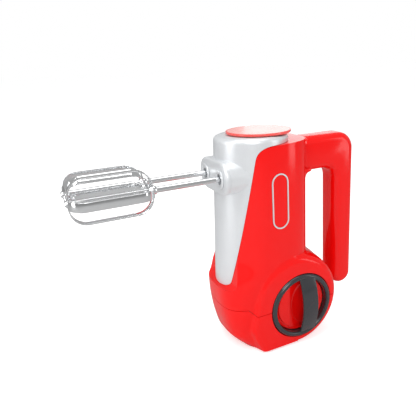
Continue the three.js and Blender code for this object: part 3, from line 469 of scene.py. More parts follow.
def casing_form(name, inset, forms=(), columns=256, rows=190, low=None, base_top=135 * MM):
    """A closed skin of the column, with the base and the round reel housing grown out of it."""
    bpy.ops.mesh.primitive_cylinder_add(vertices=columns, radius=1, depth=1, end_fill_type="NGON")
    piece = added(name)

    def upright_edges():
        bpy.ops.mesh.select_all(action="DESELECT")
        bpy.ops.object.mode_set(mode="OBJECT")
        mesh = piece.data
        for e in mesh.edges:
            a, b = (mesh.vertices[i].co for i in e.vertices)
            e.select = abs(a.z - b.z) > 0.5
        bpy.ops.object.mode_set(mode="EDIT")
        bpy.ops.mesh.subdivide(number_cuts=rows - 2)

    take(piece)
    bpy.ops.object.mode_set(mode="EDIT")
    bpy.ops.mesh.select_mode(type="EDGE")
    upright_edges()
    bpy.ops.mesh.select_mode(type="VERT")
    bpy.ops.object.mode_set(mode="OBJECT")
    low = (BASE_BOTTOM if low is None else low) + inset
    high = COLUMN_TOP - inset
    points = points_of(piece)
    share = np.clip(points[:, 2] + 0.5, 0, 1)
    eased = 0.5 - 0.5 * np.cos(math.pi * share)          # rows crowd towards the rounded ends
    level = low + (high - low) * (0.65 * share + 0.35 * eased)
    angles = np.arctan2(points[:, 1], points[:, 0])
    keys = np.round(share * (rows - 1)).astype(int)
    widest = bpy.context.scene.mixer_casing.housing_face - inset
    out = np.empty_like(points)
    for key in np.unique(keys):
        ring = keys == key
        z = level[ring][0]
        r = reach_at(z, inset, angles[ring], forms, base_top)
        y = np.clip(r * np.sin(angles[ring]), -widest, widest)
        out[ring] = np.column_stack([HEART_X + r * np.cos(angles[ring]), y, np.full(ring.sum(), z)])
    set_points(piece, out)
    return edit(piece, clean)


def column_form(name, inset, columns=256, rows=150, low=60 * MM):
    """The column alone, from above the base's tuck."""
    return casing_form(name, inset, (), columns, rows, low=low)


FAR = 0.4                          # longer than the object, for cutting blocks
CUT_FOOT = 80 * MM                 # front shell: lowest point of its tongue
CUT_RISE = 0.193                   # slope of its side edge
CUT_TOP_Z = COLUMN_TOP - 21.5 * MM   # where the side edge starts to turn into the top edge
CUT_TOP_X = -14.6 * MM
TONGUE_X = -52 * MM
PARTING_Z = 50 * MM                # between the main and lower casings
PARTING_STEP = 8 * MM
PARTING_STEP_X = -22 * MM


def front_region(gap):
    """Side view of the front shell: a slanted edge, a round tongue and the band under the knob."""
    def side_edge(z):
        return CUT_TOP_X - CUT_RISE * (CUT_TOP_Z - z)

    foot, bend = (TONGUE_X, CUT_FOOT), CUT_FOOT + 9 * MM
    corner = (CUT_TOP_X, CUT_TOP_Z)
    line = [(-FAR, CUT_FOOT), foot]
    line += curve(foot, (side_edge(CUT_FOOT), CUT_FOOT), (side_edge(bend), bend))
    line += [corner] + curve(corner, (side_edge(CAP_EDGE), CAP_EDGE - 1 * MM), (4 * MM, CAP_EDGE), 14)
    line += [(50 * MM, CAP_EDGE + CAP_RISE), (FAR, CAP_EDGE + CAP_RISE), (FAR, FAR), (-FAR, FAR)]
    return slab("front_cutter", [(x - gap, z + gap) for x, z in line], -FAR, FAR, "y")


def lower_region(gap):
    """Side view of the lower casing, whose edge steps up round the front."""
    level, stepped = PARTING_Z + gap, PARTING_Z + gap + PARTING_STEP
    line = [(-FAR, -FAR), (FAR, -FAR), (FAR, level), (PARTING_STEP_X, level),
            (PARTING_STEP_X - PARTING_STEP, stepped), (-FAR, stepped)]
    return slab("lower_cutter", line, -FAR, FAR, "y")


def stadium(half_length, radius, count=16):
    return arc(half_length, 0, radius, -90, 90, count) + arc(-half_length, 0, radius, 90, 270, count)


def dial_opening():
    radius = half_width("winding_handle") + 0.8 * MM
    return rod("dial_cutter", radius, 0, FAR, "y", (DIAL.x, -FAR, DIAL.z), 128)


BADGE = centre("badge_frame")
BADGE_LINE = 1.4 * MM


def badge_loop(slack):
    half = half_width("badge_frame")
    half_length = half_width("badge_frame", "z") - half

    def loop(radius):
        return [(BADGE.x + v, BADGE.z + u) for u, v in stadium(half_length, radius)]

    ring = slab("badge_ring", loop(half + slack), -FAR, 0, "y")
    return cut(ring, slab("badge_hole", loop(half - BADGE_LINE - slack), -2 * FAR, FAR, "y"))


VENTS, VENT_PITCH, VENT_WIDTH, VENT_LENGTH, VENT_BOTTOM = 6, 6.5 * MM, 2.6 * MM, 26 * MM, 112 * MM
PLATE_CORNER = 10 * MM
GLAND_TURN = math.radians(36)      # below the housing's axis, at the back
GLAND_RADIUS = 5 * MM


class MIXER_OT_casings(bpy.types.Operator):
    """Main and lower casings, cut from one blended skin"""

    bl_idname = "mixer.casings"
    bl_label = "Casings"

    def execute(self, context):
        c = context.scene.mixer_casing
        skin = casing_form("main_casing_shell", 0, ("base", "housing"))
        hollow = casing_form("hollow", c.wall, ("base", "housing"), 128, 120, base_top=80 * MM - c.wall)
        cut(skin, hollow, front_region(0), dial_opening())
        lower = copied(skin, "lower_casing_shell")
        groove = cut(badge_loop(c.seam), column_form("groove_floor", 0.9 * MM, 128, 60))
        roof = boolean(column_form("roof", 0, low=200 * MM), front_region(-c.wall), "INTERSECT")
        boolean(roof, block("rear", (0, -FAR, 0), (FAR, FAR, FAR)), "INTERSECT")
        cut(roof, rod("roof_hole", c.column_radius - 4 * MM, 0.2, FAR, "z", steps=128), front_region(0))
        unite(skin, roof)
        vents = []
        for i in range(VENTS):
            level = VENT_BOTTOM + i * VENT_PITCH
            vents.append(block("vent", (0, 20 * MM, level), (VENT_LENGTH, FAR, level + VENT_WIDTH)))
        cut(skin, lower_region(c.seam * 2), groove, joined("vents", vents))
        boolean(lower, lower_region(0), "INTERSECT")
        plate_low, plate_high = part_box("base_plate")
        plate = rounded_slab("plate_hole", plate_low.x - c.seam, plate_high.x + c.seam, plate_low.y - c.seam,
                             plate_high.y + c.seam, PLATE_CORNER + c.seam, -0.01, 0.014)
        gland = rod("gland_hole", GLAND_RADIUS + c.seam, c.housing_radius - 12 * MM, FAR, "x")
        cut(lower, plate, place(gland, gland_place()))
        finished(skin, "main_casing")
        finished(lower, "lower_casing")
        return {"FINISHED"}


def gland_place():
    c = bpy.context.scene.mixer_casing
    return Matrix.Translation((c.housing_x, 0, c.housing_z)) @ Matrix.Rotation(GLAND_TURN, 4, "Y")


def rounded_slab(name, x0, x1, y0, y1, radius, low, high):
    left, right, near, far = x0 + radius, x1 - radius, y0 + radius, y1 - radius
    outline = (arc(right, near, radius, -90, 0) + arc(right, far, radius, 0, 90)
               + arc(left, far, radius, 90, 180) + arc(left, near, radius, 180, 270))
    return slab(name, outline, low, high, "z")


class MIXER_OT_front_shell(bpy.types.Operator):
    """Silver front shell with the nose that carries the beaters"""

    bl_idname = "mixer.front_shell"
    bl_label = "Front shell"

    nose_half: length("Nose radius", "Rounding of the nose's two ends", 17.25)
    nose_line: length("Nose line", "Where the fine line runs behind the nose's face", 4.6)
    dish_depth: length("Dish", "How deep the knob sits in the cap", 1.3)

    def execute(self, context):
        c = context.scene.mixer_casing
        top = COLUMN_TOP

        def cap(inset):
            r, high = c.column_radius - inset, top - inset
            shoulder = c.shoulder - inset / 2
            profile = [(0, CAP_EDGE - 10 * MM), (r, CAP_EDGE - 10 * MM)]
            profile += arc(r - shoulder, high - shoulder, shoulder, 0, 90, 10) + [(0, high)]
            return lathe("cap", profile, "z", steps=192)

        shell = column_form("front_shell_skin", 0)
        cut(shell, column_form("hollow", c.wall, 128, 80), block("rear", (0.3 * MM, -FAR, 0), (FAR, FAR, FAR)))
        crown = cut(cap(0), cap(c.wall), block("front", (-FAR, -FAR, 0), (0, FAR, FAR)))
        unite(shell, crown)
        front = extent("nose_collar_near", "x")[0] + COLLAR_PROUD
        rear = -18 * MM                                # inside the column's wall

        def nose(name, inset, low, high):
            outline = stadium(SPINDLE_Y, self.nose_half - inset, 28)
            return place(slab(name, outline, low, high, "x"), Matrix.Translation((0, 0, SPINDLE_Z)))

        boss = round_edges(nose("nose", 0, front, rear), 2.4 * MM, 6, 60)
        groove = front + self.nose_line
        line = nose("nose_line", -1.25 * MM, groove, groove + 0.4 * MM)
        cut(boss, cut(line, nose("nose_core", 0.4 * MM, front, front + 8 * MM)))
        unite(shell, boss)
        hollow = unite(column_form("hollow", c.wall, 128, 80), nose("nose", c.wall, front + c.wall, rear))
        cut(hollow, block("rear", (0, -FAR, 0), (FAR, FAR, FAR)))
        holes = [rod("hole", COLLAR_RADIUS - 2.2 * MM, front - 5 * MM, front + 10 * MM, "x",
                     (0, side * SPINDLE_Y, SPINDLE_Z)) for _, side in SIDES]
        stem = rod("stem_hole", 7.8 * MM, COLUMN_TOP - 0.01, COLUMN_TOP + 0.005, "z", (KNOB.x, 0, 0))
        rim = half_width("speed_knob") + 0.6 * MM
        floor = top - self.dish_depth
        dish = lathe("dish", [(0, floor), (rim - 0.8 * MM, floor), (rim, floor + 0.8 * MM),
                              (rim, top + 3 * MM), (0, top + 3 * MM)], "z", (KNOB.x, 0, 0), ROUND)
        cut(shell, hollow, *holes, dish, stem)
        boolean(shell, front_region(c.seam), "INTERSECT")
        finished(shell, "front_shell")
        return {"FINISHED"}


# ---------------------------------------------------------------- handle
class MIXER_OT_handle(bpy.types.Operator):
    """Handle in two halves, joined down its middle"""

    bl_idname = "mixer.handle"
    bl_label = "Handle"

    grip: length("Grip", "Depth of the grip, front to back", 28)
    arm: length("Arm", "Height of the arm", 39.5)
    lean: length("Lean", "How far the grip's toe leans out", 2.5)
    fillet: length("Fillet", "Curve between the arm and the grip, inside", 15)
    shoulder: length("Shoulder", "Curve between the arm and the grip, outside", 20)
    strip_thick: length("Strip", "Thickness of the strip along the body", 4)
    strip_foot: length("Strip foot", "Height of the strip's lower end", 104)
    grip_edge: length("Grip edge", "Rounding along the grip", 9)

    def execute(self, context):
        c = context.scene.mixer_casing
        low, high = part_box("handle_half_near")
        half = -low.y
        top, foot, near = high.z, low.z, low.x
        out = high.x - self.lean                       # the box reaches the grip's toe
        within, under = out - self.grip, top - self.arm

        def outline(inset):
            r = self.grip / 2 - inset
            inner = (within + inset, under + inset)
            line = [(near + inset, inner[1]), (inner[0] - self.fillet, inner[1])]
            line += curve(line[-1], inner, (inner[0], inner[1] - self.fillet), 16)
            line += arc(inner[0] + self.lean + r, foot + inset + r, r, 180, 360, 28)
            bend = (out - inset - self.shoulder, top - inset - self.shoulder)
            line += arc(*bend, self.shoulder, 0, 90, 18)
            return line + [(near + inset, top - inset)]

        right = near + self.strip_thick
        flare = right + 8 * MM
        web = [(near, self.strip_foot), (right, self.strip_foot), (right, under - 8 * MM)]
        web += curve(web[-1], (right, under), (flare, under))
        web += [(flare, under + 4 * MM), (near, under + 4 * MM)]
        solid = round_edges(slab("handle", outline(0), -half, half, "y"), self.grip_edge, 7, 60)
        strip = round_edges(slab("strip", web, -half, half, "y"), 1.5 * MM, 4, 60)
        unite(solid, strip)
        inside = half - c.wall
        core = round_edges(slab("core", outline(c.wall), -inside, inside, "y"), 4 * MM, 3, 60)
        for where, side in SIDES:
            piece = cut(copied(solid, f"handle_shell_{where}"), copied(core, "hollow"))
            limits = sorted((side * c.seam / 2, side * FAR))
            boolean(piece, block("half", (-FAR, limits[0], -FAR), (FAR, limits[1], FAR)), "INTERSECT")
            if side > 0:
                for i in (1, 2, 3):
                    spot = centre(f"handle_screw_{i}")
                    cut(piece, rod("sink", 3.3 * MM, half - 3 * MM, FAR, "y", (spot.x, 0, spot.z), 48))
            finished(piece, f"handle_half_{where}")
        bpy.data.objects.remove(solid)
        bpy.data.objects.remove(core)
        return {"FINISHED"}


# ---------------------------------------------------------------- nose collars, beaters
class MIXER_OT_beaters(bpy.types.Operator):
    """Nose collars and the two beaters with their crossed loops of flat strip"""

    bl_idname = "mixer.beaters"
    bl_label = "Beaters"

    strip_width: length("Strip width", "Width of the flat strip", 9.5)
    strip_thick: length("Strip thickness", "Thickness of the flat strip", 1.2)
    corner: length("Corner", "Radius of the loops' corners", 16)
    head_length: length("Head length", "From the tip to the rear of the loops", 78.4)
    head_radius: length("Head radius", "How far the loops reach from the shaft", 21.5)
    shaft: length("Shaft", "Radius of the shaft", 3)

    def loop(self, low, high):
        """One closed loop of flat strip with softly rounded edges."""
        radius, corner = self.head_radius, self.corner
        outline = (arc(high - corner, corner - radius, corner, -90, 0, 14)
                   + arc(high - corner, radius - corner, corner, 0, 90, 14)
                   + arc(low + corner, radius - corner, corner, 90, 180, 14)
                   + arc(low + corner, corner - radius, corner, 180, 270, 14))
        bpy.ops.mesh.primitive_circle_add(vertices=len(outline), radius=1)
        strip = added("strip")
        half = self.strip_width / 2 - 0.4 * MM
        set_points(strip, [(u, -half, v) for u, v in outline])
        width = (0, 2 * half, 0)
        edit(strip, lambda: bpy.ops.mesh.extrude_region_move(TRANSFORM_OT_translate={"value": width}),
             lambda: bpy.ops.mesh.select_all(action="SELECT"),
             lambda: bpy.ops.mesh.subdivide(number_cuts=1), clean)
        modify(strip, "SOLIDIFY", thickness=self.strip_thick, offset=-1)
        return round_edges(strip, 0.4 * MM, 3, 50)

    def execute(self, context):
        for where, side in SIDES:
            low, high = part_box(f"beater_{where}")
            tip, head_rear = low.x, low.x + self.head_length
            worn = self.shaft - 0.8 * MM                  # both ends of the shaft are broken by this much
            first = self.loop(tip + 2 * MM, head_rear)
            second = place(copied(first, "strip"), Matrix.Rotation(math.pi / 2, 4, "X"))
            shaft = lathe("shaft", [(0, tip), (worn, tip), (self.shaft, tip + 0.8 * MM),
                                    (self.shaft, high.x - 1 * MM), (worn, high.x), (0, high.x)], "x", steps=40)
            front, rear = head_rear - 3 * MM, head_rear + 4 * MM
            rear_hub = [(0, front), (4.6 * MM, front), (4.6 * MM, head_rear + 1.5 * MM), (3.8 * MM, rear),
                        (0, rear)]
            rear_hub = lathe("rear_hub", rounded_profile(rear_hub, 0.8 * MM), "x", steps=48)
            front, rear = tip + 1 * MM, tip + 5 * MM
            tip_hub = [(0, front), (3.6 * MM, front), (3.6 * MM, rear), (0, rear)]
            tip_hub = lathe("tip_hub", rounded_profile(tip_hub, 1 * MM), "x", steps=48)
            beater = joined(f"beater_head_{where}", [first, second, shaft, rear_hub, tip_hub])
            turn = Matrix.Rotation(math.radians(0 if side < 0 else 45), 4, "X")
            place(beater, Matrix.Translation((0, side * SPINDLE_Y, SPINDLE_Z)) @ turn)
            finished(beater, f"beater_{where}")

            lip, back = extent(f"nose_collar_{where}", "x")
            face = lip + COLLAR_PROUD - 0.3 * MM
            bore, rim, seat = 5.4 * MM, COLLAR_RADIUS, COLLAR_RADIUS - 2.5 * MM
            profile = [(bore, back), (bore, lip + 0.9 * MM), (bore + 1.1 * MM, lip + 0.3 * MM),
                       (bore + 2.4 * MM, lip), (rim - 0.8 * MM, lip), (rim, lip + 0.9 * MM), (rim, face),
                       (seat, face), (seat, back)]
            collar = lathe(f"nose_ring_{where}", rounded_profile(profile, 0.35 * MM, 4), "x",
                           (0, side * SPINDLE_Y, SPINDLE_Z))
            finished(collar, f"nose_collar_{where}")
        return {"FINISHED"}


# ---------------------------------------------------------------- knob, badge, dial
class MIXER_OT_knob(bpy.types.Operator):
    """Round speed knob on top, with its two grip marks"""

    bl_idname = "mixer.knob"
    bl_label = "Speed knob"

    thick: length("Thickness", "Thickness of the knob", 3)
    marks_at: FloatProperty(name="Marks", description="Where the two grip marks are", subtype="ANGLE",
                            default=math.radians(218))
    marks_apart: FloatProperty(name="Marks apart", description="Half the angle between them", subtype="ANGLE",
                               default=math.radians(11))

    def execute(self, context):
        low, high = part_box("speed_knob")
        radius = half_width("speed_knob")
        under = high.z - self.thick
        top = high.z
        profile = [(0, under), (radius - 0.8 * MM, under), (radius, under + 0.8 * MM), (radius, top - 0.2 * MM),
                   (radius - 0.6 * MM, top), (0, top - 0.25 * MM)]
        knob = lathe("speed_knob_disc", rounded_profile(profile, 1 * MM, 6), "z", (KNOB.x, 0, 0), ROUND)
        for side in (-1, 1):
            mark = block("mark", (radius - 0.6 * MM, -3 * MM, under + 0.8 * MM),
                         (radius + 2 * MM, 3 * MM, high.z - 0.9 * MM))
            round_edges(mark, 0.8 * MM, 3)
            turn = Matrix.Rotation(self.marks_at + side * self.marks_apart, 4, "Z")
            cut(knob, place(mark, Matrix.Translation((KNOB.x, 0, 0)) @ turn))
        unite(knob, rod("pin", 2 * MM, low.z, under + 1 * MM, "z", (KNOB.x, 0, 0), 32))
        finished(knob, "speed_knob")
        knob.data.materials.clear()
        knob.data.materials.append(bpy.data.materials["knob_face"])
        return {"FINISHED"}


class MIXER_OT_badge(bpy.types.Operator):
    """Plain stadium outline let into the side"""

    bl_idname = "mixer.badge"
    bl_label = "Badge outline"

    def execute(self, context):
        ring = boolean(badge_loop(0), column_form("badge_top", -0.5 * MM), "INTERSECT")
        cut(ring, column_form("badge_floor", 0.6 * MM, 128, 60))
        ring.name = "badge_outline"
        finished(round_edges(ring, 0.25 * MM, 2, 50), "badge_frame")
        return {"FINISHED"}


class MIXER_OT_dial(bpy.types.Operator):
    """Winding dial: a ring with its bridge strap, and the dished hub disc behind it"""

    bl_idname = "mixer.dial"
    bl_label = "Winding dial"

    strap_from: length("Strap from", "One edge of the strap, from the dial's centre", -3.5)
    strap_to: length("Strap to", "Other edge of the strap", 16.5)
    strap_arch: length("Strap arch", "How far the strap stands out", 9)
    strap_thick: length("Strap thickness", "Thickness of the strap", 3)
    ring_width: length("Ring width", "Width of the dial's ring", 6)
    hub_face: length("Hub face", "Where the hub's face stands, from the middle plane", -39)
    hub_wall: length("Hub wall", "Thickness of the hub disc", 2.4)
    hub_pin: length("Hub pin", "Radius of the boss behind the hub", 13)

    def execute(self, context):
        self.dial(context)
        self.hub()
        return {"FINISHED"}

    def dial(self, context):
        low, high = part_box("winding_handle")
        radius = half_width("winding_handle")
        inner = radius - self.ring_width
        face = low.y + self.strap_arch - 1.5 * MM
        back = high.y
        profile = [(inner, back), (inner, face + 1.6 * MM), (inner + 1.2 * MM, face), (radius - 2 * MM, face),
                   (radius, face + 2 * MM), (radius, back)]
        ring = lathe("dial_ring", rounded_profile(profile, 1.4 * MM, 6), "y", (DIAL.x, 0, DIAL.z), ROUND)
        reach = inner + 2.5 * MM
        count = 40
        arch = []
        for i in range(count + 1):
            rise = self.strap_arch * math.sin(math.pi * i / count) ** 0.8
            arch.append((-reach + 2 * reach * i / count, face + 1.5 * MM - rise))
        outline = [(y, z) for z, y in arch] + [(y + self.strap_thick, z) for z, y in reversed(arch)]
        strap = slab("strap", outline, self.strap_from, self.strap_to, "x")
        round_edges(strap, 1.1 * MM, 4, 50)
        unite(ring, place(strap, Matrix.Translation((DIAL.x, 0, DIAL.z))))
        ring.name = "winding_ring"
        finished(ring, "winding_handle")

    def hub(self):
        low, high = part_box("hub_disc")
        radius, face = half_width("hub_disc"), self.hub_face
        back = face + self.hub_wall
        profile = [(0, face), (radius - 2.5 * MM, face), (radius - 1.2 * MM, face - 1.2 * MM),
                   (radius, face - 0.6 * MM), (radius, back), (self.hub_pin, back), (self.hub_pin, high.y),
                   (0, high.y)]
        disc = lathe("hub_face", rounded_profile(profile, 0.8 * MM, 4), "y", (DIAL.x, 0, DIAL.z), ROUND)
        panel = slab("panel", arc(0, 0, radius - 4 * MM, 118, 242, 40), low.y, face + 1 * MM, "y")
        place(panel, Matrix.Translation((DIAL.x, 0, DIAL.z)))
        unite(disc, round_edges(panel, 0.7 * MM, 4, 40))
        bpy.ops.mesh.primitive_uv_sphere_add(segments=96, ring_count=48, radius=1)
        scoop = place(added("scoop"), Matrix.Translation((DIAL.x + 4 * MM, face, DIAL.z))
                      @ Matrix.Diagonal((15 * MM, 1.9 * MM, 25 * MM, 1)))
        finished(cut(disc, scoop), "hub_disc")


# ---------------------------------------------------------------- finishes
def node(tree, kind, links=(), **values):
    """Adds a shader node; links are (input, source socket) pairs, values its properties or input defaults."""
    made = tree.nodes.new(kind)
    for key, value in values.items():
        if hasattr(made, key):
            setattr(made, key, value)
        else:
            made.inputs[key.replace("_", " ").title()].default_value = value
    for name, source in links:
        tree.links.new(source, made.inputs[name])
    return made


MID_GREY = (0.5, 0.5, 0.5, 1)


def effect(name, inputs, outputs):
    """A named node group with its own inputs and outputs."""
    tree = bpy.data.node_groups.new(name, "ShaderNodeTree")
    for label, default in inputs:
        kind = "NodeSocketColor" if isinstance(default, tuple) else "NodeSocketFloat"
        tree.interface.new_socket(label, in_out="INPUT", socket_type=kind).default_value = default
    for label, kind in outputs:
        tree.interface.new_socket(label, in_out="OUTPUT", socket_type=kind)
    return tree, tree.nodes.new("NodeGroupInput"), tree.nodes.new("NodeGroupOutput")


def noise(tree, scale_from=None, scale=100.0, detail=3.0, stretch=None):
    """Noise on object coordinates, as a 0-1 value."""
    at = node(tree, "ShaderNodeTexCoord").outputs["Object"]
    if stretch:
        mapping = node(tree, "ShaderNodeMapping", [("Vector", at)])
        mapping.inputs["Scale"].default_value = stretch
        at = mapping.outputs["Vector"]
    made = node(tree, "ShaderNodeTexNoise", [("Vector", at)])
    made.inputs["Scale"].default_value = scale
    made.inputs["Detail"].default_value = detail
    if scale_from:
        tree.links.new(scale_from, made.inputs["Scale"])
    return made.outputs["Fac"]


def spread(tree, source, low, high):
    """Maps the middle of a noise to a range."""
    made = node(tree, "ShaderNodeMapRange", [("Value", source)])
    made.inputs["From Min"].default_value = 0.3
    made.inputs["From Max"].default_value = 0.7
    for name, value in (("To Min", low), ("To Max", high)):
        if isinstance(value, (int, float)):
            made.inputs[name].default_value = value
        else:
            tree.links.new(value, made.inputs[name])
    return made.outputs["Result"]


def surface_height():
    """Height of a moulded or painted skin: a long ripple and a fine grain."""
    tree, into, out = effect("skin_relief", [("Ripple Scale", 260.0), ("Grain Scale", 4000.0), ("Grain", 0.3)],
                             [("Height", "NodeSocketFloat")])
    ripple = noise(tree, into.outputs["Ripple Scale"], detail=1.0)
    grain = noise(tree, into.outputs["Grain Scale"], detail=2.0)
    both = node(tree, "ShaderNodeMix", [("Factor", into.outputs["Grain"])], data_type="FLOAT")
    tree.links.new(ripple, both.inputs["A"])
    tree.links.new(grain, both.inputs["B"])
    tree.links.new(both.outputs["Result"], out.inputs["Height"])
    return tree


def handling():
    """Uneven gloss and a trace of darkening where a surface is held and wiped."""
    tree, into, out = effect("handling", [("Colour", MID_GREY), ("Tint", 0.06), ("Low Roughness", 0.1),
                                          ("High Roughness", 0.2), ("Scale", 26.0)],
                             [("Colour", "NodeSocketColor"), ("Roughness", "NodeSocketFloat")])
    broad = noise(tree, into.outputs["Scale"], detail=5.0)
    smear = noise(tree, scale=70.0, detail=3.0, stretch=(1.0, 1.0, 0.35))
    mixed = node(tree, "ShaderNodeMath", [(0, broad), (1, smear)], operation="MULTIPLY")
    lifted = node(tree, "ShaderNodeMath", [(0, mixed.outputs[0])], operation="SQRT")
    rough = spread(tree, lifted.outputs[0], into.outputs["Low Roughness"], into.outputs["High Roughness"])
    tree.links.new(rough, out.inputs["Roughness"])
    shade = node(tree, "ShaderNodeHueSaturation", [("Color", into.outputs["Colour"])])
    less = node(tree, "ShaderNodeMath", [(0, broad), (1, into.outputs["Tint"])], operation="MULTIPLY")
    value = node(tree, "ShaderNodeMath", [(1, less.outputs[0])], operation="SUBTRACT")
    value.inputs[0].default_value = 1.02
    tree.links.new(value.outputs[0], shade.inputs["Value"])
    tree.links.new(shade.outputs["Color"], out.inputs["Colour"])
    return tree


def metal_lines():
    """Fine turned or drawn lines, as a roughness and a height."""
    tree, into, out = effect("metal_lines", [("Low Roughness", 0.2), ("High Roughness", 0.4)],
                             [("Roughness", "NodeSocketFloat"), ("Height", "NodeSocketFloat")])
    lines = noise(tree, scale=1500.0, detail=2.0, stretch=(0.06, 1.0, 1.0))
    tree.links.new(spread(tree, lines, into.outputs["Low Roughness"], into.outputs["High Roughness"]),
                   out.inputs["Roughness"])
    tree.links.new(lines, out.inputs["Height"])
    return tree


def banded():
    """Stacked sheets or wound wire: a stripe across a chosen direction, as colour and height."""
    tree, into, out = effect("bands", [("Colour", MID_GREY), ("Dark", (0.1, 0.1, 0.1, 1)), ("Scale", 400.0)],
                             [("Colour", "NodeSocketColor"), ("Height", "NodeSocketFloat")])
    at = node(tree, "ShaderNodeTexCoord").outputs["Object"]
    wave = node(tree, "ShaderNodeTexWave", [("Vector", at), ("Scale", into.outputs["Scale"])],
                bands_direction="Z", wave_profile="SIN")
    wave.inputs["Distortion"].default_value = 0.15
    mix = node(tree, "ShaderNodeMix", [("Factor", wave.outputs["Fac"])], data_type="RGBA")
    tree.links.new(into.outputs["Dark"], mix.inputs[6])
    tree.links.new(into.outputs["Colour"], mix.inputs[7])
    tree.links.new(mix.outputs[2], out.inputs["Colour"])
    tree.links.new(wave.outputs["Fac"], out.inputs["Height"])
    return tree


class Finish:
    """One material: a Principled shader in it, fed by the shared effect groups."""

    def __init__(self, name, **sockets):
        self.material = bpy.data.materials.get(name) or bpy.data.materials.new(name)
        self.material.use_nodes = True
        self.tree = self.material.node_tree
        self.tree.nodes.clear()
        self.shader = self.tree.nodes.new("ShaderNodeBsdfPrincipled")
        out = self.tree.nodes.new("ShaderNodeOutputMaterial")
        self.tree.links.new(self.shader.outputs["BSDF"], out.inputs["Surface"])
        self.last_height = None
        for key, value in sockets.items():
            self.shader.inputs[key.replace("_", " ").title().replace("Ior", "IOR")].default_value = value

    def group(self, tree, **values):
        made = self.tree.nodes.new("ShaderNodeGroup")
        made.node_tree = tree
        for key, value in values.items():
            made.inputs[key.replace("_", " ").title()].default_value = value
        return made

    def feed(self, socket, source):
        self.tree.links.new(source, self.shader.inputs[socket])
        return self

    def relief(self, source, distance, strength=1.0):
        bump = node(self.tree, "ShaderNodeBump", [("Height", source)])
        bump.inputs["Strength"].default_value = strength
        bump.inputs["Distance"].default_value = distance
        if self.last_height:
            self.tree.links.new(self.last_height, bump.inputs["Normal"])
        self.last_height = bump.outputs["Normal"]
        return self.feed("Normal", self.last_height)


